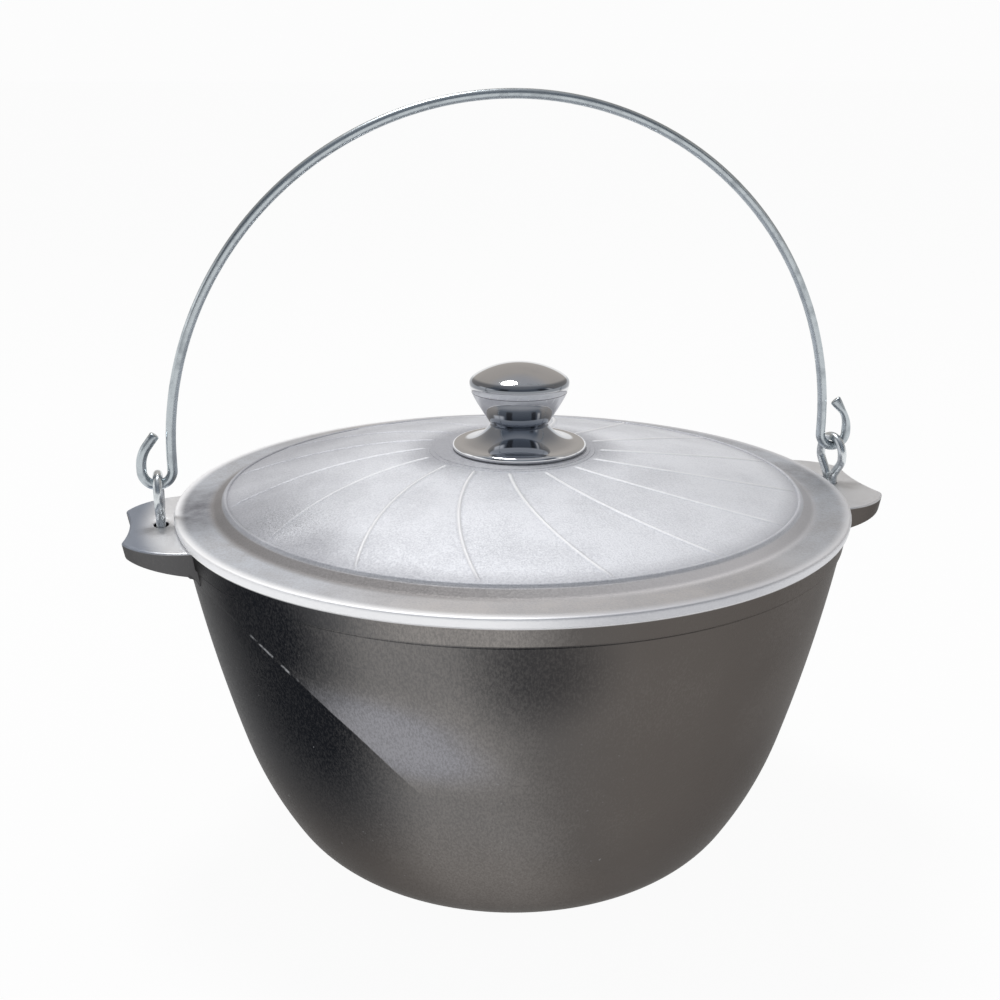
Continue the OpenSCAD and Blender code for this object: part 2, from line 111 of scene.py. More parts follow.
class LidSizes(bpy.types.PropertyGroup):
    """Sizes of the cast lid, measured up from the rim."""
    diameter: length("Diameter of the lid", 0.300)
    wall: length("Thickness of the cast dome", 0.0035)
    dome_h: length("Height of the middle of the dome", 0.0262)
    ridge_d: length("Diameter of the ridge at the edge of the dome", 0.256)
    ridge_h: length("Height of the ridge", 0.0081)
    bead_r: length("Radius of the fine bead on the ridge", 0.0009)
    step_w: length("Width of the step from the ridge to the brim", 0.005)
    brim_t: length("Thickness of the brim at the step", 0.0047)
    edge_t: length("Thickness of the rounded outer edge", 0.0042)
    edge_draft: length("How far the edge is drawn in at its foot", 0.0009)
    plug_depth: length("Depth of the ring that centres the lid", 0.004)
    plug_t: length("Thickness of that ring", 0.0025)
    plug_r: length("Outside radius of that ring", 0.1415)
    boss_d: length("Diameter of the boss under the knob", 0.070)
    boss_h: length("Height of the boss's edge above the dome", 0.0004)
    boss_step_w: length("Width of the low step round the boss", 0.002)
    boss_step_h: length("Height of that step's edge above the dome", 0.0003)
    pad_d: length("Diameter of the flat pad under the dome", 0.018)
    pad_drop: length("How far the pad stands down", 0.0008)
    knob_shift: length("How far the screw's hole lies off the middle of the lid", 0.0032)
    screw_hole_r: length("Radius of the hole for the screw", 0.00275)
    rib_count: IntProperty(name="Number of swirl ribs", default=16, min=3)
    rib_w: length("Width of a rib", 0.0018)
    rib_h: length("Height of a rib", 0.0005)
    rib_sweep: amount("Turn of a rib from boss to ridge, in degrees", 19.5)
    rib_arc_r: length("Radius of a rib's arc seen from above", 0.145)
    rib_gap: length("Gap between the boss and the start of a rib", 0.0005)
    rib_start: amount("Direction of the first rib's outer end, in degrees", 5.0)


class KnobSizes(bpy.types.PropertyGroup):
    """Sizes of the pressed knob, measured up from the lid's boss."""
    cap_d: length("Diameter of the cap", 0.0444)
    height: length("Height above the boss", 0.0388)
    cap_dome_h: length("Height of the domed top", 0.0071)
    brow_tilt: amount("Slope of the dome where its rounded edge starts, in degrees", 28.0)
    brow_drop: length("How far the widest place lies below the dome's edge", 0.0015)
    cap_side_h: length("Height of the side of the cap", 0.0054)
    cap_draw_in: length("How far the cap is drawn in at its lower edge", 0.0007)
    foot_d: length("Diameter of the foot", 0.060)
    lip_h: length("Height of the rolled lip of the foot", 0.003)
    neck_d: length("Diameter of the neck", 0.026)
    neck_h: length("Height of the neck above the boss", 0.0111)
    waist: length("How far the bowl's foot stands back from the neck", 0.0004)
    sheet: length("Thickness of the pressed sheet", 0.0011)
    core_r: length("Radius of the hole for the core", 0.00615)
    clearance: length("Clearance between the knob's pieces", 0.00015)


class WireSizes(bpy.types.PropertyGroup):
    """Sizes of the bail and the eyes."""
    eye_wire: length("Diameter of the wire of an eye", 0.004)
    eye_w: length("Width of the loop between the middles of its wire", 0.016)
    eye_h: length("Height of the loop's top above the ear", 0.0241)
    eye_side: length("Straight length at the sides of the loop", 0.0012)
    shoulder_r: length("Radius of the bends at the shoulders", 0.005)
    neck_bend_r: length("Radius of the bends above the tails", 0.005)
    tail_gap: length("Gap between the two tails", 0.0004)
    tail_bend_r: length("Radius of the bend of the tails under the ear", 0.0032)
    tail_len: length("Straight length at the end of a tail", 0.0035)
    tail_room: length("Room between the tails and the ear", 0.0015)
    eye_turn: amount("Turn of the right eye, in degrees", 12.0)
    bail_wire: length("Diameter of the wire of the bail", 0.0043)
    hook_w: length("Width of a hook between the middles of its wire", 0.0128)
    leg_len: length("Straight length of a leg above the hook", 0.005)
    limb_len: length("Straight length of the hook's outer limb", 0.002)
    tip_bend_r: length("Radius of the bend of the hook's tip", 0.015)
    tip_len: length("Straight length of the tip", 0.006)
    hook_play: length("Play between a hook and its eye", 0.0003)


class Finishes(bpy.types.PropertyGroup):
    """Colours of the castings, the plating, the wires, the steel and the floor."""
    pot_satin: colour("Warm middle tone of the pot's satin skin", (0.114, 0.102, 0.094))
    pot_cool: colour("Cooler tone at the left of the pot", (0.107, 0.106, 0.108))
    # Painted dark reflection in smooth patches of the pot
    pot_dark_reflection: colour("Smooth, dark patches of the pot", (0.010, 0.011, 0.014))
    # Frosted skin with a painted pale reflection
    pot_frost_and_reflection: colour("Frosted skin above the pot's flow line", (0.340, 0.338, 0.362))
    # Painted sheen on the band, the upright stripe and the right side, and pale mottling
    pot_pale_and_sheen: colour("Warmer, pale skin of the band and the upright stripe", (0.340, 0.320, 0.303))
    pot_ground: colour("Ground top of the right ear", (0.880, 0.885, 0.900))
    # Painted shade on the left ear's top
    pot_shaded_top: colour("Duller top of the left ear", (0.345, 0.376, 0.437))
    pot_chip: colour("Bright chips and specks of the pot", (0.450, 0.460, 0.480))
    lid_satin: colour("Frosted dome of the lid", (0.868, 0.879, 0.908))
    # Also painted shade on the dome and the edge
    lid_cloud_and_shade: colour("Darker tone of the lid's cloudy patches", (0.520, 0.525, 0.555))
    # Painted highlight on the ribs and the edge
    lid_highlight: colour("Burnished ribs and edge", (0.940, 0.943, 0.955))
    lid_brim: colour("Turned brim", (0.570, 0.556, 0.554))
    # Painted bluish reflection
    lid_cool_reflection: colour("Bluish brim beside the ears", (0.610, 0.640, 0.690))
    # Also painted shade on the step's right
    lid_worn_and_shade: colour("Darker patches of the brim", (0.460, 0.460, 0.475))
    # Painted shade darkens the step at its left and at its right
    lid_step: colour("Stained step between the ridge and the brim", (0.760, 0.745, 0.752))
    lid_step_shade: colour("Darker left half of that step", (0.330, 0.315, 0.310))
    # Also the painted reflection of the ears in the brim
    lid_speck_and_reflection: colour("Dark specks in the lid's cast skin", (0.200, 0.205, 0.230))
    chrome: colour("Plated knob", (0.600, 0.605, 0.620))
    chrome_wiped: colour("Wiping marks in the plating", (0.500, 0.510, 0.530))
    # Painted reflections in rings of the plating
    chrome_dark_reflection: colour("Dark ring round the cap's edge", (0.200, 0.215, 0.240))
    chrome_bright_reflection: colour("Brightest plating, under the cap and on the lip", (0.760, 0.765, 0.780))
    chrome_dull_reflection: colour("Duller plating round the knob's neck", (0.260, 0.285, 0.330))
    zinc: colour("Galvanised wire of the bail", (0.520, 0.565, 0.590))
    zinc_pale: colour("Galvanised wire of the eyes", (0.720, 0.755, 0.770))
    # Also painted shade on the wire below the rim
    zinc_dull_and_shade: colour("Dull patches of the galvanised wire", (0.360, 0.395, 0.420))
    steel: colour("Turned steel of the hidden core", (0.420, 0.420, 0.430))
    steel_dark: colour("Darker rings in the steel", (0.300, 0.300, 0.310))
    floor: colour("Pale floor", (0.900, 0.900, 0.900))
    floor_mottle: colour("Faint mottling of the floor", (0.880, 0.880, 0.880))


class StageSettings(bpy.types.PropertyGroup):
    """Camera, light and floor of the studio."""
    focal_px: amount("Focal length in pixels of the photograph's frame", 1362.2)
    camera_x: amount("Camera's place along X in metres", -0.12898)
    camera_y: amount("Camera's place along Y in metres", -0.57655)
    camera_z: amount("Camera's place along Z in metres", 0.34705)
    heading: amount("Turn of the view from +Y towards +X, in degrees", 12.079)
    pitch: amount("Downward tilt of the view, in degrees", 17.419)
    wall: colour("Beige wall behind the object", (0.500, 0.470, 0.440))
    side_wall: colour("Walls at both sides", (0.440, 0.420, 0.400))
    front: colour("Dim front of the room", (0.200, 0.225, 0.262))
    ceiling: colour("Ceiling of the room", (0.420, 0.430, 0.455))
    doorway: colour("Two dark doorways", (0.070, 0.075, 0.085))
    post: colour("Pale post at the right", (0.900, 0.890, 0.870))
    window: amount("Strength of the low window at the left", 1.3)
    horizon: amount("Strength of the white horizon", 0.975)
    lamp_power: amount("Power of the lamp in watts", 15.0)
    lamp_size: length("Diameter of the lamp", 0.5)
    paper_white: amount("Share of the floor's look that is plain white", 0.95)
    floor_half: length("Half the side of the floor", 60.0)
    floor_drop: length("How far the floor lies below the base", 0.0002)


GROUPS = {
    "cauldron_pot": PotSizes,
    "cauldron_lid": LidSizes,
    "cauldron_knob": KnobSizes,
    "cauldron_wire": WireSizes,
    "cauldron_finish": Finishes,
    "cauldron_stage": StageSettings,
}


def smoothstep(low, high, x):
    """0 below low, 1 above high, and 3t² - 2t³ between."""
    t = np.clip((x - low) / (high - low), 0.0, 1.0)
    return t * t * (3.0 - 2.0 * t)


def unit(a):
    """Direction (cos a, sin a) of one or more angles in radians."""
    return np.stack((np.cos(a), np.sin(a)), -1)


def arc(centre, radius, start, stop, steps):
    """Points of a circle: centre + radius (cos a, sin a), with a from start to stop degrees."""
    return np.asarray(centre) + radius * unit(np.radians(np.linspace(start, stop, steps + 1)))


def arc_radius(half_chord, rise):
    """Radius (c² + h²) / 2h of an arc that rises by h over its half chord c."""
    return (half_chord ** 2 + rise ** 2) / (2 * rise)


def quadratic(start, control, end, steps):
    """Points of start (1 - t)² + 2 control t (1 - t) + end t², with t from 0 to 1."""
    t = np.linspace(0.0, 1.0, steps + 1)[:, None]
    return np.asarray(start) * (1 - t) ** 2 + np.asarray(control) * 2 * t * (1 - t) + np.asarray(end) * t ** 2


def rounded(points, radius, steps=6):
    """An open outline whose inner corners are rounded by quadratic curves.

    At a corner of half-angle h the curve touches both sides where an arc of the radius would,
    at radius / tan(h) from the corner, or at a share of the shorter side where that is nearer.
    Two points just outside the curve keep the flats beside it flat."""
    share, outside = 0.45, 1.08
    p = np.asarray(points, float)
    r = np.broadcast_to(radius, len(p))
    out = [p[:1]]
    for before, at, after, r_at in zip(p[:-2], p[1:-1], p[2:], r[1:-1]):
        to_before, to_after = before - at, after - at
        side_a, side_b = np.linalg.norm(to_before), np.linalg.norm(to_after)
        u, v = to_before / side_a, to_after / side_b
        half = 0.5 * math.acos(np.clip(u @ v, -1.0, 1.0))
        reach = min(r_at / math.tan(half), share * side_a, share * side_b)
        bend = quadratic(at + reach * u, at, at + reach * v, steps)
        out += [at + outside * reach * u[None], bend, at + outside * reach * v[None]]
    return np.vstack(out + [p[-1:]])


def grid_faces(rows, columns, close_rows, close_columns):
    """Corner numbers of the quads of a grid, which wraps round where it is closed."""
    i = np.arange(rows if close_rows else rows - 1)[:, None]
    j = np.arange(columns if close_columns else columns - 1)[None, :]
    i_next, j_next = (i + 1) % rows, (j + 1) % columns
    row, row_next = i * columns, i_next * columns
    quads = np.stack((row + j, row + j_next, row_next + j_next, row_next + j), -1)
    return quads.reshape(-1, 4)


def grid_shell(points, close_rows=False, close_columns=True):
    """Vertices and quads of a surface given as an array of rows, columns and coordinates."""
    rows, columns = points.shape[:2]
    return points.reshape(-1, 3), grid_faces(rows, columns, close_rows, close_columns)


def revolve(profile, segments, close=False):
    """Surface of revolution: (r cos t, r sin t, z) for each profile point and angle t."""
    t = np.linspace(0.0, 2.0 * np.pi, segments, endpoint=False)
    r, z = profile[:, :1], profile[:, 1:]
    points = np.stack((r * np.cos(t), r * np.sin(t), np.broadcast_to(z, (len(profile), segments))), -1)
    return grid_shell(points, close_rows=close)


def new_piece(name, shells, material, sharp=38.0):
    """A mesh object at the origin from one or more shells, with its doubles merged and its faces outwards."""
    mesh = bpy.data.meshes.new(name)
    counts = np.cumsum([0] + [len(v) for v, _ in shells])
    verts = np.vstack([v for v, _ in shells])
    faces = np.vstack([f + n for (_, f), n in zip(shells, counts)])
    mesh.from_pydata(verts.tolist(), [], faces.tolist())
    work = bmesh.new()
    work.from_mesh(mesh)
    bmesh.ops.remove_doubles(work, verts=work.verts, dist=1e-6)
    bmesh.ops.dissolve_degenerate(work, edges=work.edges, dist=1e-7)
    bmesh.ops.recalc_face_normals(work, faces=work.faces)
    work.to_mesh(mesh)
    work.free()
    mesh.shade_smooth()
    mesh.set_sharp_from_angle(angle=math.radians(sharp))
    mesh.materials.append(material)
    piece = bpy.data.objects.new(name, mesh)
    bpy.context.scene.collection.objects.link(piece)
    return piece


def seat(piece, body, slot, *nodes):
    """Puts a piece on its body, in place of the CAD nodes that it stands for."""
    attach(piece, body)
    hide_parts(*nodes)


class Value:
    """A shader socket that Python's operators turn into Math nodes."""

    def __init__(self, shade, socket):
        self.shade, self.socket = shade, socket

    def math(self, operation, *others):
        inputs = {i: v for i, v in enumerate((self, *others))}
        return self.shade.add("ShaderNodeMath", {"operation": operation}, inputs)

    def __add__(self, other):
        return self.math("ADD", other)

    __radd__ = __add__

    def __mul__(self, other):
        return self.math("MULTIPLY", other)

    __rmul__ = __mul__

    def __sub__(self, other):
        return self.math("SUBTRACT", other)

    def __rsub__(self, other):
        return self.shade.add("ShaderNodeMath", {"operation": "SUBTRACT"}, {0: other, 1: self})

    def __truediv__(self, other):
        return self.math("DIVIDE", other)

    def __abs__(self):
        return self.math("ABSOLUTE")

    def ramp(self, low, high):
        """0 below low, 1 above high, smooth between; low may be the larger one."""
        settings = {"interpolation_type": "SMOOTHSTEP", "clamp": True}
        inputs = {"Value": self, "From Min": low, "From Max": high}
        return self.shade.add("ShaderNodeMapRange", settings, inputs)

    def within(self, low, full_low, full_high, high):
        """1 from full_low to full_high, 0 below low and above high, smooth between."""
        return self.ramp(low, full_low) * self.ramp(high, full_high)

    def at_most(self, other):
        return self.math("MINIMUM", other)

    def at_least(self, other):
        return self.math("MAXIMUM", other)


class Shade:
    """The node tree of one material or world; add makes any node in it."""

    def __init__(self, owner):
        owner.use_nodes = True
        self.tree = owner.node_tree
        self.tree.nodes.clear()

    def add(self, kind, settings=None, inputs=None, out=0):
        """A node of a kind, with its settings set first and then its sockets; gives one of its outputs."""
        node = self.tree.nodes.new(kind)
        for key, value in (settings or {}).items():
            setattr(node, key, value)
        for key, value in (inputs or {}).items():
            if isinstance(value, Value):
                self.tree.links.new(value.socket, node.inputs[key])
            else:
                node.inputs[key].default_value = value
        return Value(self, node.outputs[out]) if node.outputs else None

    def place(self):
        """Object coordinates in metres, as a vector and as its three parts."""
        vector = self.add("ShaderNodeTexCoord", out="Object")
        parts = [self.add("ShaderNodeSeparateXYZ", inputs={"Vector": vector}, out=i) for i in range(3)]
        return vector, parts

    def noise(self, vector, scale, detail=2.0, roughness=0.5, stretch=(1.0, 1.0, 1.0)):
        """Noise between 0 and 1; a stretch below 1 draws the grain out along that axis."""
        moved = self.add("ShaderNodeMapping", inputs={"Vector": vector, "Scale": stretch})
        return self.add("ShaderNodeTexNoise", {"noise_dimensions": "3D"},
                        {"Vector": moved, "Scale": scale, "Detail": detail, "Roughness": roughness})

    def compare(self, operation, a, b):
        """A number worked out from two vectors."""
        return self.add("ShaderNodeVectorMath", {"operation": operation}, {0: a, 1: b}, out="Value")

    def spot(self, vector, centre, outer, inner):
        """1 within the inner distance of a centre, 0 beyond the outer one."""
        return self.compare("DISTANCE", vector, centre).ramp(outer, inner)

    def along(self, vector, direction):
        """Distance along a direction."""
        return self.compare("DOT_PRODUCT", vector, direction)

    def mix(self, factor, a, b):
        """Colour a where factor is 0 and b where it is 1."""
        inputs = {"Factor": factor, 6: rgba(a), 7: rgba(b)}
        return self.add("ShaderNodeMix", {"data_type": "RGBA", "clamp_factor": True}, inputs, out=2)

    def bump(self, height, strength, distance):
        """A normal that a height field tilts."""
        inputs = {"Height": height, "Strength": strength, "Distance": distance}
        return self.add("ShaderNodeBump", inputs=inputs)

    def surface(self, **sockets):
        """Principled surface; underscores in the names stand for spaces."""
        inputs = {key.replace("_", " "): value for key, value in sockets.items()}
        shader = self.add("ShaderNodeBsdfPrincipled", inputs=inputs)
        self.add("ShaderNodeOutputMaterial", inputs={"Surface": shader})


def rgba(c):
    """A colour with its alpha, or the value that it comes from."""
    return c if isinstance(c, Value) else (*c, 1.0)


def polar(x, y):
    """Distance from the axis."""
    return (x * x + y * y).math("SQRT")


def new_finish(name):
    """A new material, its node tree, and object coordinates as a vector and as its three parts."""
    material = bpy.data.materials.new(name)
    shade = Shade(material)
    return material, shade, *shade.place()


def pot_finish(scene):
    """Satin cast skin: fine upright grain, dark smooth patches, a pale band and one diagonal flow line.

    The dark patches are painted dark reflection. The flow line is where a slanted plane cuts the wall:
    the skin is smooth and dark below it in painted reflection, and frosted above it with a painted
    pale reflection, and both fade away from the line. The band has a painted highlight, and an upright
    stripe and the right side carry painted sheen. Flat tops are ground bright, and the left ear's top
    is duller in painted shade."""
    tones, pot = scene.cauldron_finish, scene.cauldron_pot
    flow_axis, flow_offset = (0.734, 0.213, 0.645), -0.0165
    dark_corner, dark_spot = (-0.118, -0.082, 0.146), (-0.022, -0.143, 0.143)
    edge_tint = (0.50, 0.50, 0.50, 1.0)
    wall_r, band_z = 0.5 * pot.mouth_d + pot.band_t, pot.height - pot.band_h
    material, s, p, (x, y, z) = new_finish("satin_casting")
    sand = s.noise(p, 1300.0, 3.0, 0.7, (1.0, 1.0, 0.5)).ramp(0.34, 0.68)
    cloud = s.noise(p, 26.0, 3.0, 0.55)
    flow = s.along(p, flow_axis) - flow_offset + (s.noise(p, 60.0) - 0.5) * 0.0008

    r = polar(x, y)
    wall = r.ramp(wall_r + 0.0018, wall_r + 0.0006)
    front = y.ramp(0.01, -0.095) * wall
    band = z.ramp(band_z - 0.0003, band_z + 0.0002) * wall
    top = z.ramp(pot.height - 0.0010, pot.height - 0.0003)

    # Painted dark reflection: below the flow line, at the left corner and in a spot under the rim
    below = flow.ramp(0.0003, -0.0002) * x.ramp(-0.055, -0.096) * z.ramp(-0.010, 0.110) * front
    corner = s.spot(p, dark_corner, 0.060, 0.014)
    patch = s.spot(p, dark_spot, 0.038, 0.006) * (1 - band)
    smooth = below.at_least(corner * 0.95).at_least(patch * 0.60)

    # Painted light: a pale reflection above the flow line, sheen on an upright stripe and on the right side,
    # and a highlight on the band
    above = flow.within(-0.0002, 0.0003, 0.004, 0.040) * z.within(0.080, 0.104, 0.112, 0.135) * front
    slant = x + z * 0.3 - 0.03
    stripe = slant.within(-0.100, -0.062, -0.045, -0.005) * z.ramp(-0.010, 0.045) * (1 - band)
    shine = x.within(-0.100, -0.058, -0.038, -0.004) * band
    sheen = x.ramp(0.05, 0.12) * z.ramp(0.06, 0.11) * wall
    frost_and_sheen = stripe * 0.34 + shine * 0.70 + above * 0.64 + sheen * 0.22 + (cloud - 0.5) * 0.20

    base = s.mix(x.ramp(-0.07, 0.03).at_least(z.ramp(0.09, 0.03)), tones.pot_cool, tones.pot_satin)
    pale = s.mix(above.ramp(0.0, 0.7), tones.pot_pale_and_sheen, tones.pot_frost_and_reflection)
    base = s.mix(frost_and_sheen * (0.75 + sand * 0.5) + (sand - 0.5) * 0.14, base, pale)
    base = s.mix((smooth * (1.12 - sand * 0.30)).at_most(1.0), base, tones.pot_dark_reflection)
    line = abs(flow).ramp(0.0006, 0.0) * z.within(0.116, 0.126, 0.134, 0.142) * front
    chips = line * s.noise(p, 260.0, 3.0).ramp(0.48, 0.66) * 0.8
    specks = s.noise(p, 500.0, 2.0).ramp(0.72, 0.78) * s.noise(p, 40.0).ramp(0.50, 0.65)
    base = s.mix(chips.at_least(specks * 0.5), base, tones.pot_chip)
    # Ground tops; the left ear's horns are duller in painted shade
    ground = s.mix(x.ramp(-0.05, 0.05).at_least(r.ramp(0.167, 0.155)), tones.pot_shaded_top, tones.pot_ground)
    base = s.mix(top * (0.75 + cloud * 0.5).at_most(1.0), base, ground)

    rough = 0.42 + frost_and_sheen * 0.10 - smooth * 0.08 + (sand - 0.5) * 0.12 + top * 0.08
    ledge = flow.ramp(-0.0005, 0.0005) * front * z.ramp(0.085, 0.100)
    height = sand * 0.5 + cloud * 0.6 + ledge * 1.6
    s.surface(Base_Color=base, Metallic=1.0, Roughness=rough, Specular_Tint=edge_tint,
              Normal=s.bump(height, 0.35, 0.0002))
    return material


def lid_finish(scene):
    """Pale cast skin: cloudy frosted dome with ribs in painted highlight, a sooty patch at its left edge, a
    turned brim.

    The ribs are found again from the point's angle and radius, by the arc that rib_angle follows.
    Their painted highlight shows less at the left edge and at the back left. Painted shade lies beside
    the ribs, at the left and the back of the dome, round the knob, towards the ridge and on the step.
    The brim carries painted reflections of the ears and a bluish painted reflection at its sides, and
    the edge a painted highlight at the left that turns to painted shade at the right."""
    tones, lid = scene.cauldron_finish, scene.cauldron_lid
    lid_r, ridge_r, boss_r = 0.5 * lid.diameter, 0.5 * lid.ridge_d, 0.5 * lid.boss_d
    step_r = ridge_r + lid.step_w
    dark_patch_back, dark_patch_front = (-0.124, -0.030, 0.170), (-0.100, -0.076, 0.171)
    soot_place = (-0.112, -0.048, 0.172)
    # Centres of the painted reflections of the ears in the brim
    ear_reflection_left, ear_reflection_right = (-0.140, 0.004, 0.166), (0.139, -0.002, 0.166)
    material, s, p, (x, y, _) = new_finish("pale_casting")
    r = polar(x, y)
    sand = s.noise(p, 1200.0, 3.0, 0.7).ramp(0.32, 0.68)
    cloud = s.noise(p, 34.0, 4.0, 0.55)
    blotch = s.noise(p, 90.0, 4.0, 0.65)
    rings = s.noise(s.add("ShaderNodeCombineXYZ", inputs={0: r}), 1600.0, 2.0, 0.6)

    far, direction = rib_circle(lid)
    pitch = 2 * math.pi / lid.rib_count
    lead = direction + math.radians(lid.rib_start - lid.rib_sweep)
    cosine = (r * r + (far ** 2 - lid.rib_arc_r ** 2)) / (r * (2 * far))
    turn = y.math("ARCTAN2", x) + cosine.math("ARCCOSINE") - lead
    beside = abs(turn - (turn / pitch).math("ROUND") * pitch) * r
    on_dome = r.within(boss_r + 0.003, boss_r + 0.006, ridge_r - 0.003, ridge_r - 0.001)
    rib = beside.ramp(0.60 * lid.rib_w, 0.25 * lid.rib_w) * on_dome
    # Painted shade beside each rib
    foot = beside.ramp(1.1 * lid.rib_w, 0.6 * lid.rib_w) * (1 - rib) * on_dome
    clear = x.ramp(-0.12, -0.07) * y.ramp(0.04, -0.02).at_least(x.ramp(-0.02, 0.06))

    back = y.ramp(-0.04, 0.0)
    # Darker patches at the left of the dome
    dark_patch = s.spot(p, dark_patch_back, 0.042, 0.010).at_least(s.spot(p, dark_patch_front, 0.026, 0.006))
    soot = s.noise(p, 1700.0, 2.0, 0.7).ramp(0.42, 0.66) * s.spot(p, soot_place, 0.040, 0.006)
    soot = soot * r.ramp(ridge_r, ridge_r - 0.002)
    # Cloudy mottling and grain, with the painted shade beside the ribs
    grey = cloud.ramp(0.35, 0.72) * 0.22 + (sand - 0.5) * 0.22 + foot * 0.15 + dark_patch * 0.5
    # Painted shade at the left and at the back left
    grey = grey + x.ramp(-0.03, -0.12) * 0.16 + back * x.ramp(-0.04, -0.10) * 0.36
    # Painted shadow round the knob, stronger behind it
    grey = grey + r.ramp(0.056, 0.034) * (0.45 + back * 0.50)
    # Painted shade on the back of the dome
    grey = grey + y.ramp(0.0, 0.09) * (0.25 + x.ramp(0.05, -0.03) * 0.25)
    dome = s.mix(grey.at_least(0.0).at_most(1.0), tones.lid_satin, tones.lid_cloud_and_shade)
    dome = s.mix(soot * 0.5, dome, tones.lid_speck_and_reflection)
    # Painted highlight on the ribs, fainter at the left and at the back left
    dome = s.mix(rib * (0.12 + clear * 0.88), dome, tones.lid_highlight)
    # Painted shade towards the ridge
    dome = s.mix(r.ramp(ridge_r - 0.010, ridge_r - 0.001) * 0.45, dome, tones.lid_cloud_and_shade)

    worn = 0.35 + (cloud - 0.5) * 1.6 + (blotch - 0.5) * 1.2 + (sand - 0.5) * 0.5
    # Painted reflection of the ears in the brim
    ear_reflection = s.spot(p, ear_reflection_left, 0.052, 0.006).at_least(s.spot(p, ear_reflection_right, 0.032, 0.006) * 0.6)
    # Painted bluish reflection on the brim beside the ears
    turned = s.mix(abs(x).ramp(0.05, 0.12), tones.lid_brim, tones.lid_cool_reflection)
    turned = s.mix(worn, turned, tones.lid_worn_and_shade)
    turned = s.mix(ear_reflection * (blotch * 1.4).at_most(1.0), turned, tones.lid_speck_and_reflection)
    # Painted shade on the step, darker at the left and at the right
    stepped = s.mix(x.ramp(0.08, -0.08), tones.lid_step, tones.lid_step_shade)
    stepped = s.mix(x.ramp(0.06, 0.12) * 0.65, stepped, tones.lid_worn_and_shade)
    # Painted highlight on the edge at the left, turning to painted shade at the right
    shade = x.ramp(-0.045, 0.010) * (0.72 - x.ramp(0.05, 0.10) * 0.3)
    rim = s.mix(shade, tones.lid_highlight, tones.lid_cloud_and_shade)

    brim = r.ramp(ridge_r + 0.0004, ridge_r + 0.0016)
    step = r.within(ridge_r + 0.0003, ridge_r + 0.0016, step_r - 0.0004, step_r + 0.0034)
    edge = r.ramp(lid_r - 0.0055, lid_r - 0.0010)
    base = s.mix(brim, dome, s.mix(step * 0.9, turned, stepped))
    base = s.mix(edge, base, rim)
    rough = 0.78 + (sand - 0.5) * 0.12 + (rings - 0.5) * brim * 0.10
    rough = rough - brim * (0.24 - step * 0.18) + edge * 0.10
    height = sand * (1 - brim * 0.6) * (1 - rib * 0.7) + rings * brim * 0.2 + soot * 0.8
    s.surface(Base_Color=base, Metallic=1.0, Roughness=rough,
              Normal=s.bump(height * (1 - edge), 0.30, 0.00018))
    return material


def chrome_finish(scene):
    """Mirror plating with a trace of upright wiping marks.

    Its tone changes in rings of painted reflection: dull round the neck, bright on the lip and under
    the cap, and dark round the cap's edge."""
    tones, knob = scene.cauldron_finish, scene.cauldron_knob
    material, s, p, (_, _, z) = new_finish("mirror_chrome")
    height = z - (scene.cauldron_pot.height + lid_top(scene.cauldron_lid))
    edge = knob.height - knob.cap_dome_h
    # Painted reflection in rings: dull round the neck, dark round the cap's edge, bright under the cap and on
    # the lip
    neck = abs(height - knob.neck_h).ramp(0.0095, 0.003)
    ring = height.within(edge - 0.0030, edge - 0.0018, edge + 0.0004, edge + 0.0014)
    under = height.within(edge - 0.0125, edge - 0.0085, edge - 0.0030, edge - 0.0018)
    lip = height.ramp(knob.lip_h + 0.0006, knob.lip_h - 0.0006)
    wipe = s.noise(p, 130.0, 3.0, 0.6, (1.0, 1.0, 0.25))
    pits = s.noise(p, 1500.0, 2.0)
    base = s.mix(wipe.ramp(0.45, 0.80) * 0.3, tones.chrome, tones.chrome_wiped)
    base = s.mix(neck * 0.85, base, tones.chrome_dull_reflection)
    base = s.mix(under.at_least(lip), base, tones.chrome_bright_reflection)
    base = s.mix(ring * 0.9, base, tones.chrome_dark_reflection)
    s.surface(Base_Color=base, Metallic=1.0, Roughness=0.045 + wipe.ramp(0.45, 0.75) * 0.05,
              Normal=s.bump(pits, 0.02, 0.0001))
    return material


def zinc_finish(scene, name, grain_scale, tone):
    """Galvanised skin: spangle, fine grain and dull patches, and all dull below the pot's rim in painted
    shade.
    """
    rim_z = scene.cauldron_pot.height
    material, s, p, (_, _, z) = new_finish(name)
    grain = {"Vector": p, "Scale": grain_scale}
    spangle = s.add("ShaderNodeTexVoronoi", {"feature": "F1"}, grain, out="Color")
    flake = s.add("ShaderNodeSeparateColor", inputs={"Color": spangle})
    dull = s.noise(p, 160.0, 4.0, 0.6)
    fine = s.noise(p, 1800.0, 2.0)
    # Painted shade on the wire below the pot's rim, under the ears
    low = z.ramp(rim_z + 0.001, rim_z - 0.006)
    patch = (dull.ramp(0.45, 0.70) * 0.7 + (flake - 0.5) * 0.18 + low).at_least(0.0).at_most(1.0)
    base = s.mix(patch, tone, scene.cauldron_finish.zinc_dull_and_shade)
    rough = 0.26 + patch * 0.16 + (fine - 0.5) * 0.10
    s.surface(Base_Color=base, Metallic=1.0, Roughness=rough,
              Normal=s.bump(fine * 0.6 + dull, 0.10, 0.00012))
    return material


def steel_finish(scene):
    """Plain turned steel with fine rings."""
    tones = scene.cauldron_finish
    material, s, _, (x, y, z) = new_finish("turned_steel")
    rings = s.noise(s.add("ShaderNodeCombineXYZ", inputs={0: z, 1: polar(x, y)}), 2600.0, 2.0)
    base = s.mix(rings * 0.5, tones.steel, tones.steel_dark)
    s.surface(Base_Color=base, Metallic=1.0, Roughness=0.30 + rings * 0.12,
              Normal=s.bump(rings, 0.10, 0.0001))
    return material


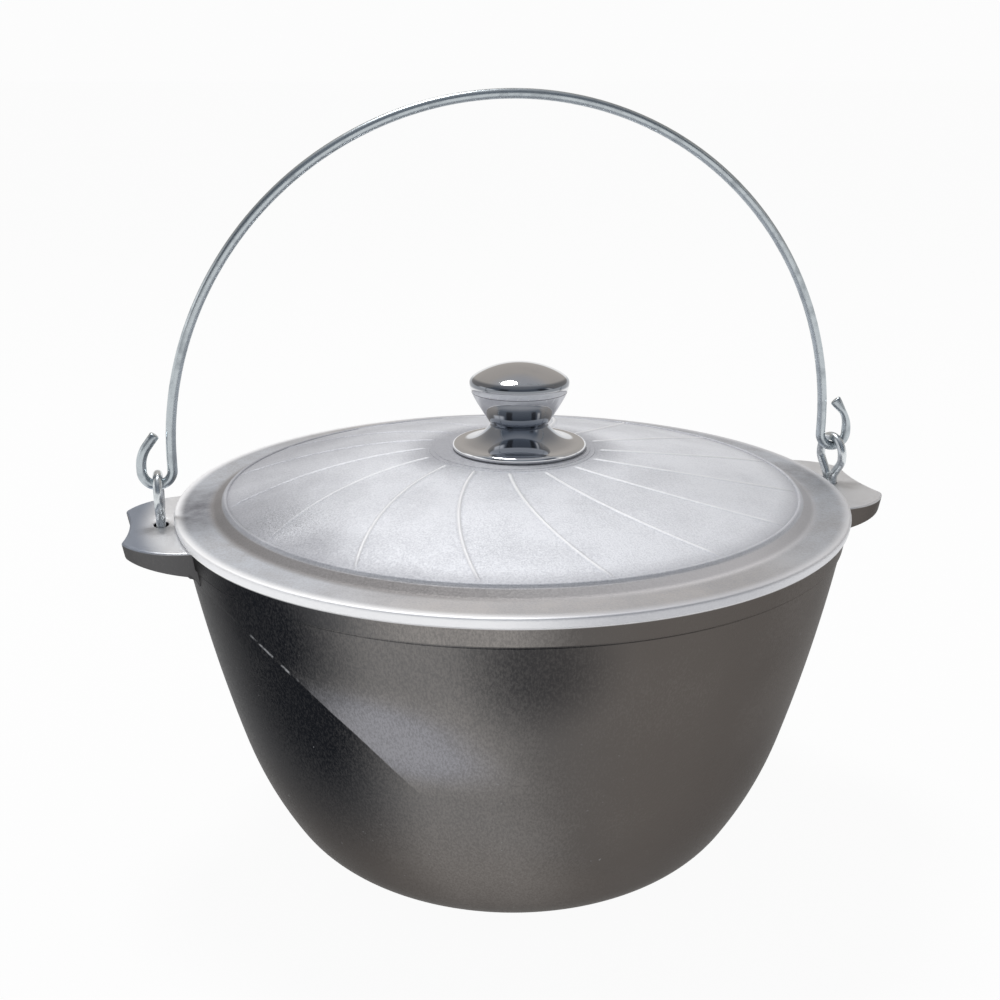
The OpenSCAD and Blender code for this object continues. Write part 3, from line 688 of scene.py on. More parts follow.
def hole_x(pot):
    """Distance of an ear's hole from the pot's axis."""
    return 0.5 * pot.mouth_d + pot.hole_offset


def wall_arcs(pot):
    """Centres, radii and leans of the wall's three arcs, from the rim down to the base."""
    leans = (pot.lean_rim, pot.lean_upper, pot.lean_flank, 90.0)
    drops = (pot.upper_h, pot.height - pot.upper_h - pot.corner_h, pot.corner_h)
    sines = [math.sin(math.radians(a)) for a in leans]
    radii = [d / (b - a) for d, a, b in zip(drops, sines, sines[1:])]
    outward = [unit(-math.radians(a)) for a in leans]
    centres = [np.array((0.5 * pot.mouth_d, pot.height)) - radii[0] * outward[0]]
    for k in (1, 2):
        centres.append(centres[-1] + (radii[k - 1] - radii[k]) * outward[k])
    return centres, radii, leans


def upper_wall(pot, z, off=0.0):
    """Radius of the upper wall at height z, moved out by off."""
    centres, radii, _ = wall_arcs(pot)
    return centres[0][0] + np.sqrt((radii[0] + off) ** 2 - (centres[0][1] - z) ** 2)


def pot_profile(pot):
    """Outline of the pot from the middle of the base, up the outside, over the rim and down the inside."""
    centres, radii, leans = wall_arcs(pot)
    steps = (40, 26, 26)
    band_z = pot.height - pot.band_h
    band_lean = math.degrees(math.asin((centres[0][1] - band_z) / radii[0]))

    def side(off, top_lean, upwards):
        starts = (top_lean, leans[1], leans[2])
        parts = [arc(c, r + off, -a, -b, n)[1:]
                 for c, r, a, b, n in zip(centres, radii, starts, leans[1:], steps)]
        line = np.vstack(parts)
        return line[::-1] if upwards else line

    outside = side(0.0, band_lean, True)
    inner_lean = math.degrees(math.asin((centres[0][1] - pot.height) / (radii[0] - pot.wall)))
    inside = side(-pot.wall, inner_lean, False)
    groove_h, run_in = 0.0008, 0.0004
    groove_z = band_z - groove_h
    rim = rounded([
        outside[-1],
        (upper_wall(pot, groove_z - run_in), groove_z - run_in),
        (upper_wall(pot, groove_z) - pot.groove, groove_z),
        (upper_wall(pot, band_z) - pot.groove, band_z),
        (upper_wall(pot, band_z, pot.band_t), band_z),
        (upper_wall(pot, pot.height, pot.band_t), pot.height),
        (upper_wall(pot, pot.height, -pot.wall), pot.height),
        inside[0],
    ], (0, 0.0002, 0.0002, 0.0001, 0.0003, 0.0006, 0.0008, 0))
    return np.vstack(([[0.0, 0.0]], outside[:-1], rim, inside[1:], [[0.0, pot.wall]]))


def ear_outline(pot):
    """Plan of an ear round its hole, with the outward normal of each point.

    Two round sides, a hollow end between horns that a quadratic curve rounds, and the root
    inside the wall, whose normals are zero because the draft doesn't move it."""
    mouth_r, side_r = 0.5 * pot.mouth_d, pot.ear_side_r
    ear_x, horn_y = mouth_r + pot.ear_reach, 0.5 * pot.horn_gap
    side_y = 0.5 * pot.ear_w - side_r
    side_x = ear_x - math.sqrt(side_r ** 2 - (horn_y - side_y) ** 2)
    scoop_r = arc_radius(horn_y, pot.ear_scoop)
    scoop_x = ear_x - pot.ear_scoop + scoop_r
    root_r = mouth_r - 0.75 * pot.wall
    far = math.hypot(side_x, side_y)
    cosine = (root_r ** 2 - far ** 2 - side_r ** 2) / (2 * far * side_r)
    root_a = math.atan2(side_y, side_x) + math.acos(cosine)
    horn_a = math.atan2(horn_y - side_y, ear_x - side_x)
    scoop_a = math.asin(horn_y / scoop_r)
    # Length at the end of each side that the rounding of a horn takes up
    bend = 0.0014
    side_n = unit(np.linspace(root_a, horn_a + bend / side_r, 50))
    side = np.array((side_x, side_y)) + side_r * side_n
    end_n = -unit(np.linspace(math.pi - scoop_a + bend / scoop_r, math.pi, 22))
    end = np.array((scoop_x, 0.0)) - scoop_r * end_n
    steps = 8
    horn = quadratic(side[-1], (ear_x, horn_y), end[0], steps)[1:-1]
    t = np.linspace(0.0, 1.0, steps + 1)[1:-1, None]
    horn_n = side_n[-1] * (1 - t) + end_n[0] * t
    horn_n /= np.linalg.norm(horn_n, axis=1, keepdims=True)
    half, half_n = np.vstack((side, horn, end)), np.vstack((side_n, horn_n, end_n))
    mirror = np.array((1.0, -1.0))
    edge_a = math.atan2(half[0, 1], half[0, 0])
    root = arc((0.0, 0.0), root_r, -math.degrees(edge_a), math.degrees(edge_a), 40)[1:-1]
    plan = np.vstack((half, half[-2::-1] * mirror, root))
    normals = np.vstack((half_n, half_n[-2::-1] * mirror, np.zeros_like(root)))
    return plan, normals


def ear_under(pot, r):
    """Height of an ear's underside at distance r: a taper that a fillet brings down to the wall."""
    mouth_r = 0.5 * pot.mouth_d
    horn_r = math.hypot(mouth_r + pot.ear_reach, 0.5 * pot.horn_gap)
    taper = (pot.ear_root_t - pot.ear_tip_t) / (horn_r - mouth_r)
    level = pot.height - pot.ear_root_t + taper * (r - mouth_r)
    wall_r = upper_wall(pot, pot.height - pot.ear_root_t)
    mid_r = wall_r + pot.ear_fillet
    mid_z = pot.height - pot.ear_root_t + taper * (wall_r - mouth_r) - pot.ear_fillet
    inward = np.clip(mid_r - r, 0.0, pot.ear_fillet)
    fillet = mid_z + np.sqrt(pot.ear_fillet ** 2 - inward ** 2)
    return np.where(r < mid_r, fillet, level)


def ear_shell(pot, side):
    """One ear as a ring round its hole: over the top, down the drafted side, back beneath and up the hole.

    A row on the side is the plan moved in along its normals, by the draft times the depth. A row
    on the top or beneath lies between the plan and the edge of the oval hole in the same direction."""
    plan, normals = ear_outline(pot)
    hole = np.array((hole_x(pot), 0.0))
    spoke = plan - hole
    spoke /= np.linalg.norm(spoke, axis=1, keepdims=True)
    spoke *= (pot.hole_w / pot.hole_d, 1.0)
    hole_r, top, edge = 0.5 * pot.hole_d, pot.height, pot.ear_edge
    flare_top, flare_low = 0.0008, 0.0004
    draft = math.tan(math.radians(pot.ear_draft))

    def under(xy):
        return ear_under(pot, np.linalg.norm(xy, axis=1))

    def row(inset, z):
        xy = plan - normals * np.reshape(inset, (-1, 1))
        return np.column_stack((xy, np.broadcast_to(z, len(plan))))

    def between(outer, radius, share, z=None):
        xy = outer[:, :2] * (1 - share) + (hole + spoke * radius) * share
        return np.column_stack((xy, np.broadcast_to(under(xy) if z is None else z, len(plan))))

    low = under(plan)
    low = under(plan - normals * (draft * (top - low))[:, None])
    bends = np.radians((0.0, 25.0, 50.0, 75.0, 90.0))
    flat = row(1.4 * edge, top)
    rows = [between(flat, hole_r + flare_top, share, top) for share in (1.0, 0.6, 0.25)] + [flat]
    rows += [row(edge * (1 - math.sin(b)), top - edge * (1 - math.cos(b))) for b in bends]
    for share in (0.1, 0.5, 0.9):
        z = (top - edge) * (1 - share) + (low + 0.5 * edge) * share
        rows.append(row(draft * (top - edge - z), z))
    foot = draft * (top - edge - low)
    rows += [row(foot + 0.15 * edge, low + 0.15 * edge), row(foot + 0.6 * edge, low)]
    beneath = rows[-1]
    rows += [between(beneath, hole_r + flare_low, share) for share in np.linspace(0.05, 1.0, 16)]
    hole_low = float(ear_under(pot, hole[0]))
    heights = (hole_low + 0.0005, hole_low + 0.001, top - 0.001, top - 0.0006)
    rows += [between(beneath, hole_r, 1.0, z) for z in heights]
    rows.append(between(beneath, hole_r + 0.0002, 1.0, top - 0.0002))
    points = np.stack(rows)
    points[..., 0] *= side
    return grid_shell(points, close_rows=True)


def rib_circle(lid):
    """Middle of the arc that the rib at angle 0 follows, as its distance and its direction."""
    start_r = 0.5 * lid.boss_d + lid.boss_step_w + lid.rib_gap
    a = np.array((start_r, 0.0))
    b = 0.5 * lid.ridge_d * unit(math.radians(lid.rib_sweep))
    chord = b - a
    across = np.array((-chord[1], chord[0])) / np.linalg.norm(chord)
    mid = (a + b) / 2 + across * math.sqrt(lid.rib_arc_r ** 2 - (np.linalg.norm(chord) / 2) ** 2)
    return math.hypot(*mid), math.atan2(mid[1], mid[0])


def rib_angle(lid, r):
    """Direction in which a rib's arc crosses radius r: 0 at the boss, with the law of cosines."""
    far, direction = rib_circle(lid)
    cosine = (r ** 2 + far ** 2 - lid.rib_arc_r ** 2) / (2 * r * far)
    return direction - np.arccos(np.clip(cosine, -1.0, 1.0))


def dome_ball(lid):
    """Radius of the ball that the dome is cut from, and the height of its middle above the rim."""
    radius = arc_radius(0.5 * lid.ridge_d, lid.dome_h - lid.ridge_h)
    return radius, lid.dome_h - radius


def lid_top(lid):
    """Height of the flat boss above the rim."""
    dome_r, mid_z = dome_ball(lid)
    return mid_z + math.sqrt(dome_r ** 2 - (0.5 * lid.boss_d) ** 2) + lid.boss_h


def lid_rows(lid):
    """Outline of the lid round its section: over the top from the screw's hole to the edge and back beneath.

    Gives the outline and, for each point, whether the dome carries ribs there."""
    ridge_r, lid_r, boss_r = 0.5 * lid.ridge_d, 0.5 * lid.diameter, 0.5 * lid.boss_d
    dome_r, mid_z = dome_ball(lid)
    dome_a = math.degrees(math.asin(ridge_r / dome_r))
    step_r = boss_r + lid.boss_step_w
    rib_r = step_r + lid.rib_gap

    def dome(r):
        return np.stack((r, mid_z + np.sqrt(dome_r ** 2 - r ** 2)), -1)

    boss_top = lid_top(lid)
    step_z = dome(step_r)[1] + lid.boss_step_h
    bead_r = ridge_r - 0.5 * lid.bead_r
    bead_in = bead_r - 1.6 * lid.bead_r
    boss = rounded([(lid.screw_hole_r, boss_top - 0.001), (lid.screw_hole_r, boss_top), (boss_r, boss_top),
                    (boss_r, step_z), (step_r, step_z), dome(step_r + 0.0003), dome(rib_r)],
                   (0, 0.0002, 0.0002, 0.0002, 0.0002, 0.0001, 0))
    ribbed = dome(rib_r + (bead_in - rib_r) * np.linspace(0.0, 1.0, 70)[1:])
    bead = arc((bead_r, lid.ridge_h), lid.bead_r, 165.0, 10.0, 12)
    brim_r = ridge_r + lid.step_w
    edge_r = lid_r - 0.8 * lid.edge_t
    step = rounded([bead[-1], (ridge_r + 0.0010, lid.ridge_h - 0.0006), (brim_r, lid.brim_t),
                    (edge_r - 0.002, lid.edge_t + 0.0001), (edge_r, lid.edge_t)],
                   (0, 0.0006, 0.0035, 0.002, 0), 8)
    edge = rounded([(edge_r, lid.edge_t), (lid_r, lid.edge_t), (lid_r - lid.edge_draft, 0.0), (edge_r, 0.0)],
                   (0, 0.0016, 0.0008, 0), 8)[1:]
    brim_under = lid.brim_t - lid.wall
    pad_r, pad_z = 0.5 * lid.pad_d, lid.dome_h - lid.wall - lid.pad_drop
    # The dome's underside runs up to near the axis and is cut off at the pad
    near_axis_a = 88.8
    below = arc((0.0, mid_z), dome_r - lid.wall, 90.0 - dome_a, near_axis_a, 39)
    below = below[below[:, 0] > pad_r]
    beneath = rounded([edge[-1], (lid.plug_r, 0.0), (lid.plug_r, -lid.plug_depth),
                       (lid.plug_r - lid.plug_t, -lid.plug_depth), (lid.plug_r - lid.plug_t, brim_under),
                       (brim_r - lid.wall / 3, brim_under), below[0]],
                      (0, 0.0005, 0.0008, 0.0008, 0.001, 0.002, 0))
    pad = rounded([below[-1], (pad_r, below[-1, 1]), (pad_r, pad_z), (lid.screw_hole_r, pad_z),
                   (lid.screw_hole_r, pad_z + 0.001)], (0, 0.0005, 0.0004, 0.0003, 0))
    parts = (boss[:-1], np.vstack((boss[-1:], ribbed)), bead, step[1:], edge, beneath[1:], below[1:], pad[1:])
    ribs = np.concatenate([np.full(len(part), k == 1) for k, part in enumerate(parts)])
    return np.vstack(parts), ribs


def lid_shell(lid, rim_z):
    """The lid as one closed grid whose columns follow the ribs.

    Columns are bunched across each rib, at offset s of its half-width, and even between two
    ribs. A rib's height is h (1 - s²)^1.5, which fades out at both of its ends. Rows inside the
    boss move over to the screw's hole."""
    profile, on_dome = lid_rows(lid)
    r, z = profile[:, 0], profile[:, 1]
    first, last = np.flatnonzero(on_dome)[[0, -1]]
    rib_r = np.clip(r, r[first], r[last])
    turn = rib_angle(lid, rib_r)
    rows = np.arange(len(r))
    back = np.clip((rows - last) / (len(r) - 1 - last), 0.0, 1.0)
    turn = np.where(rows > last, turn[last] * (1 - smoothstep(0.3, 1.0, back)), turn)
    turn[:first] = 0.0
    fine_r = np.linspace(r[first], r[last], 400)
    lean = np.interp(rib_r, fine_r, np.gradient(rib_angle(lid, fine_r), fine_r[1] - fine_r[0])) * rib_r
    across = 0.5 * lid.rib_w * np.sqrt(1 + lean ** 2) / rib_r
    s = np.array((-1.7, -1.25, -1.0, -0.85, -0.65, -0.4, -0.14, 0.14, 0.4, 0.65, 0.85, 1.0, 1.25, 1.7))
    gap = np.linspace(0.0, 1.0, 9)[1:-1]
    pitch = 2 * math.pi / lid.rib_count
    zone = across[:, None] * s
    spread = across[:, None] * s[-1]
    between = spread + (pitch - 2 * spread) * gap
    one = np.concatenate((zone, between), axis=1)
    start = math.radians(lid.rib_start - lid.rib_sweep)
    k = np.arange(lid.rib_count) * pitch
    theta = start + turn[:, None, None] + k[None, :, None] + one[:, None, :]
    shape = np.concatenate((np.clip(1 - s ** 2, 0.0, 1.0) ** 1.5, np.zeros(len(gap))))
    run_in, run_out, overlap = 0.003, 0.0015, 0.0002
    ends = smoothstep(r[first], r[first] + run_in, r) * smoothstep(r[last] + overlap, r[last] - run_out, r)
    lift = (lid.rib_h * ends * on_dome)[:, None] * shape
    theta = theta.reshape(len(r), -1)
    lift = np.tile(lift, (1, lid.rib_count))
    inside = np.clip((0.5 * lid.boss_d - r) / (0.5 * lid.boss_d - 0.5 * lid.pad_d), 0.0, 1.0)
    shift = (lid.knob_shift * inside)[:, None]
    points = np.stack((r[:, None] * np.cos(theta) + shift, r[:, None] * np.sin(theta),
                       rim_z + z[:, None] + lift), -1)
    return grid_shell(points, close_rows=True)


def knob_profiles(knob, base_z):
    """Outlines round the sections of the knob's pressed foot, bowl and cap; the cap's ends on the axis."""
    cap_r, neck_r, foot_r = 0.5 * knob.cap_d, 0.5 * knob.neck_d, 0.5 * knob.foot_d
    sheet, lip_r = knob.sheet, 0.5 * knob.lip_h
    flare_x = foot_r - knob.lip_h
    flare_w, flare_h = flare_x - neck_r, knob.neck_h - knob.lip_h
    flare_r = arc_radius(flare_w, flare_h)
    flare_a = math.degrees(math.atan2(flare_h - flare_r, -flare_w))
    outer = arc((flare_x, knob.lip_h + flare_r), flare_r, flare_a, -90.0, 40)
    lip = arc((flare_x + lip_r, lip_r), lip_r, 90.0, -90.0, 16)
    inner = arc((flare_x, knob.lip_h + flare_r), flare_r + sheet, -90.0, flare_a, 30)
    inner = inner[inner[:, 1] < knob.neck_h - sheet]
    foot = np.vstack(([[knob.core_r, knob.neck_h]], outer, lip, [[flare_x, 0.0]], inner,
                      [[knob.core_r, knob.neck_h - sheet]]))

    edge_z = knob.height - knob.cap_dome_h
    low_z = edge_z - knob.cap_side_h
    dome_r = arc_radius(cap_r, knob.cap_dome_h)
    dome_a = math.degrees(math.acos(cap_r / dome_r))
    top = arc((0.0, knob.height - dome_r), dome_r, 90.0, 90.0 - knob.brow_tilt, 36)
    brow_z = top[-1, 1] - (cap_r - top[-1, 0]) * math.tan(math.radians(knob.brow_tilt))
    wide_z = edge_z - knob.brow_drop
    brow = quadratic(top[-1], (cap_r, brow_z), (cap_r, wide_z), 16)[1:]
    side_h = wide_z - low_z
    side_r = arc_radius(side_h, knob.cap_draw_in)
    side_a = math.degrees(math.asin(side_h / side_r))
    side = arc((cap_r - side_r, wide_z), side_r, 0.0, -side_a, 20)[1:]
    side_in = arc((cap_r - side_r, wide_z), side_r - sheet, -side_a, 0.0, 16)
    # The inside of the dome stops short of its edge by this many degrees
    short_a = 7.0
    top_in = arc((0.0, knob.height - dome_r), dome_r - sheet, dome_a + short_a, 90.0, 24)
    cap = np.vstack((top, brow, side, [side[-1] - (0.3 * sheet, 0.12 * sheet)], side_in, top_in))

    def cap_inner(z):
        return cap_r - side_r + math.sqrt((side_r - sheet) ** 2 - (wide_z - z) ** 2)

    bowl_r = cap_inner(low_z) - knob.clearance
    cone_top = low_z - knob.clearance
    flange_z = low_z + 0.5 * side_h
    flange_r = cap_inner(flange_z) - knob.clearance
    rim = np.array((cap_r - knob.cap_draw_in, cone_top))
    waist = np.array((neck_r - knob.waist, knob.neck_h))
    # The bowl's curve is drawn towards a point this far in from its rim and below it
    swell = (0.0018, 0.0041)
    cone = quadratic(waist, rim - swell, rim, 30)
    crimp = rounded([rim, (bowl_r, cone_top), (bowl_r, flange_z), (flange_r, flange_z),
                     (flange_r, flange_z + sheet), (bowl_r - sheet, flange_z + sheet),
                     (bowl_r - sheet, cone_top), (neck_r - sheet, knob.neck_h + sheet),
                     (knob.core_r, knob.neck_h + sheet)],
                    (0, 0.0001, 0.0003, 0.0003, 0.0003, 0.0004, 0.0015, 0.0006, 0))
    bowl = np.vstack(([[knob.core_r, knob.neck_h]], cone, crimp[1:]))
    lift = np.array((0.0, base_z))
    return foot + lift, bowl + lift, cap + lift


def bent(runs, per_half):
    """Middle line of a bent wire in a plane, from the origin along +Z, with its headings in radians.

    A run of one value is straight. A run of a radius and an angle in degrees turns towards +X:
    the point stays on a circle of that radius while the heading grows by the angle. A half turn
    has per_half points, and any bend at least six."""
    points, headings = [np.zeros((1, 2))], [np.zeros(1)]
    for run in runs:
        at, heading = points[-1][-1], headings[-1][-1]
        if len(run) == 1:
            shares = np.array((0.06, 0.5, 0.94, 1.0))[:, None]
            points.append(at + shares * run[0] * unit(0.5 * math.pi - heading))
            headings.append(np.full(len(shares), heading))
        else:
            count = max(6, round(abs(run[1]) / 180 * per_half))
            sign = math.copysign(1.0, run[1])
            h = heading + math.radians(run[1]) * np.arange(1, count + 1) / count
            points.append(at + sign * run[0] * (unit(-heading) - unit(-h)))
            headings.append(h)
    return np.vstack(points), np.concatenate(headings)


def hoop(top_r, runs, per_half):
    """Middle line of a wire with a round top of half a turn and the same runs down both of its ends.

    The right half starts at the top, where it heads along +X; the left half is its mirror image."""
    line, heading = bent([(top_r, 90.0)] + runs, per_half)
    along = np.column_stack((line[:, 1], -line[:, 0]))
    tangent = unit(-heading)
    left = along[:0:-1] * (-1, 1)
    left_tangent = tangent[:0:-1] * (1, -1)
    return np.vstack((left, along)), np.vstack((left_tangent, tangent))


def tube(line, tangent, diameter, pinch=0.0, around=28):
    """Round wire on a plane path: c + r (n cos v + b sin v), with n in the plane and b across it.

    Both ends are closed by a small bevel. A pinch draws a waist into the wire near its last end, and
    spreads the end in its plane and flattens it across, as cutting pliers do."""
    r = 0.5 * diameter
    bevel = 0.12 * diameter
    steps = np.concatenate(([0.0], np.cumsum(np.linalg.norm(np.diff(line, axis=0), axis=1))))
    total = steps[-1]
    ends = np.array((0.0, 0.25, 1.0)) * bevel
    start = line[0] + tangent[0] * ends[:, None]
    stop = line[-1] - tangent[-1] * ends[::-1, None]
    keep = (steps > 1.6 * bevel) & (steps < total - 1.6 * bevel)
    c = np.vstack((line[:1], start, line[keep], stop, line[-1:]))
    d = np.vstack((np.repeat(tangent[:1], 4, 0), tangent[keep], np.repeat(tangent[-1:], 4, 0)))
    # Shares of the radius at the four points of a bevelled end
    taper = np.array((0.0, 0.70, 0.87, 1.0))
    shrink = np.concatenate((taper, np.ones(keep.sum()), taper[::-1]))
    s = np.concatenate(([0.0], ends, steps[keep], total - ends[::-1], [total]))
    squeeze = pinch * smoothstep(total - 1.8 * diameter, total, s)
    waist = pinch * smoothstep(total - 4.0 * diameter, total - 2.0 * diameter, s)
    waist *= 1 - smoothstep(total - 2.0 * diameter, total - 0.3 * diameter, s)
    n = np.column_stack((-d[:, 1], d[:, 0]))
    v = np.linspace(0.0, 2 * np.pi, around, endpoint=False)
    wide = (r * shrink * (1 + 0.5 * squeeze - 0.6 * waist))[:, None] * np.cos(v)
    thin = (r * shrink * (1 - squeeze))[:, None] * np.sin(v)
    plane = c[:, None, :] + wide[..., None] * n[:, None, :]
    return np.stack((plane[..., 0], thin, plane[..., 1]), -1)


def eye_line(pot, wire):
    """Middle line of an eye in its own plane, measured up from the ear's top."""
    tail_y = 0.5 * (wire.eye_wire + wire.tail_gap)
    eye_r, top = 0.5 * wire.eye_w, wire.eye_h - 0.5 * wire.eye_wire
    bends = wire.shoulder_r + wire.neck_bend_r
    sine, cosine = math.sin(math.radians(SLANT)), math.cos(math.radians(SLANT))
    flank = (eye_r - tail_y - bends * (1 - cosine)) / sine
    loop_h = wire.eye_side + bends * sine + flank * cosine
    neck_z = top - eye_r - loop_h
    under = pot.height - float(ear_under(pot, hole_x(pot)))
    drop = neck_z + under + wire.tail_room + 0.5 * wire.eye_wire - wire.tail_bend_r
    runs = [(wire.eye_side,), (wire.shoulder_r, SLANT), (flank,), (wire.neck_bend_r, -SLANT), (drop,),
            (wire.tail_bend_r, -90.0), (wire.tail_len,)]
    line, tangent = hoop(eye_r, runs, per_half=72)
    return line + (0.0, top), tangent


class CauldronOperator:
    """What the operators share: they run on the scene's settings and can be undone."""
    bl_options = {"REGISTER", "UNDO"}


class CAULDRON_OT_pot(CauldronOperator, bpy.types.Operator):
    """Make the cast pot with its two ears"""
    bl_idname = "cauldron.pot"
    bl_label = "Cast Pot"

    def execute(self, context):
        pot = context.scene.cauldron_pot
        shells = [revolve(pot_profile(pot), segments=224)] + [ear_shell(pot, side) for side in (1, -1)]
        piece = new_piece("cast_pot", shells, pot_finish(context.scene))
        seat(piece, "kettle", "pot_casting", "kettle_pot")
        return {"FINISHED"}


class CAULDRON_OT_lid(CauldronOperator, bpy.types.Operator):
    """Make the domed lid with its swirl ribs"""
    bl_idname = "cauldron.lid"
    bl_label = "Ribbed Lid"

    def execute(self, context):
        scene = context.scene
        shells = [lid_shell(scene.cauldron_lid, scene.cauldron_pot.height)]
        piece = new_piece("cast_lid", shells, lid_finish(scene), sharp=50.0)
        seat(piece, "lid", "lid_casting", "lid")
        return {"FINISHED"}


class CAULDRON_OT_knob(CauldronOperator, bpy.types.Operator):
    """Make the chromed foot, bowl and cap of the knob"""
    bl_idname = "cauldron.knob"
    bl_label = "Chromed Knob"

    def execute(self, context):
        scene = context.scene
        lid = scene.cauldron_lid
        base_z = scene.cauldron_pot.height + lid_top(lid)
        chrome = chrome_finish(scene)
        foot, bowl, cap = knob_profiles(scene.cauldron_knob, base_z)
        for name, node, profile, close in (("chrome_foot", "knob_skirt", foot, True),
                                           ("chrome_bowl", "knob_bowl", bowl, True),
                                           ("chrome_cap", "knob_cap", cap, False)):
            verts, faces = revolve(profile, segments=160, close=close)
            piece = new_piece(name, [(verts + (lid.knob_shift, 0.0, 0.0), faces)], chrome, sharp=60.0)
            seat(piece, "lid", "chrome", node)
        return {"FINISHED"}


class CAULDRON_OT_bail(CauldronOperator, bpy.types.Operator):
    """Make the wire bail with its two hooks"""
    bl_idname = "cauldron.bail"
    bl_label = "Wire Bail"

    def execute(self, context):
        scene = context.scene
        pot, wire = scene.cauldron_pot, scene.cauldron_wire
        hook_r = 0.5 * wire.hook_w
        pivot_z = pot.height + wire.eye_h - wire.eye_wire - wire.hook_play - 0.5 * wire.bail_wire
        leg_x = hole_x(pot) - hook_r
        top_z = pivot_z + hook_r + wire.leg_len + leg_x
        runs = [(wire.leg_len,), (hook_r, -180.0), (wire.limb_len,), (wire.tip_bend_r, -SLANT),
                (wire.tip_len,)]
        line, tangent = hoop(leg_x, runs, per_half=150)
        points = tube(line + (0.0, top_z), tangent, wire.bail_wire, pinch=0.45)
        zinc = zinc_finish(scene, "zinc_bail", 260.0, scene.cauldron_finish.zinc)
        piece = new_piece("wire_bail", [grid_shell(points)], zinc, sharp=60.0)
        seat(piece, "bail", "zinc_wire", "bail")
        return {"FINISHED"}


class CAULDRON_OT_eyes(CauldronOperator, bpy.types.Operator):
    """Make the two wire eyes in the ears"""
    bl_idname = "cauldron.eyes"
    bl_label = "Wire Eyes"

    def execute(self, context):
        scene = context.scene
        pot, wire = scene.cauldron_pot, scene.cauldron_wire
        zinc = zinc_finish(scene, "zinc_eye", 420.0, scene.cauldron_finish.zinc_pale)
        line, tangent = eye_line(pot, wire)
        flat = tube(line, tangent, wire.eye_wire)
        for name, node, side, turn in (("wire_eye_left", "eye_left", -1, 0.0),
                                       ("wire_eye_right", "eye_right", 1, wire.eye_turn)):
            a = math.radians(90.0 + turn)
            x = flat[..., 0] * math.cos(a) - flat[..., 1] * math.sin(a) + side * hole_x(pot)
            y = flat[..., 0] * math.sin(a) + flat[..., 1] * math.cos(a)
            points = np.stack((x, y, flat[..., 2] + pot.height), -1)
            piece = new_piece(name, [grid_shell(points)], zinc, sharp=60.0)
            seat(piece, node, "zinc_wire", node)
        return {"FINISHED"}


class CAULDRON_OT_fixings(CauldronOperator, bpy.types.Operator):
    """Finish the core, the screw and the washers that hold the knob"""
    bl_idname = "cauldron.fixings"
    bl_label = "Knob Fixings"

    def execute(self, context):
        scene = context.scene
        steel = steel_finish(scene)
        zinc = zinc_finish(scene, "zinc_fixing", 700.0, scene.cauldron_finish.zinc)
        for node, material in (("knob_core", steel), ("knob_screw", zinc), ("flat_washer", zinc),
                               ("spring_washer", zinc)):
            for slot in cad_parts[node].material_slots:
                slot.material = material
        return {"FINISHED"}


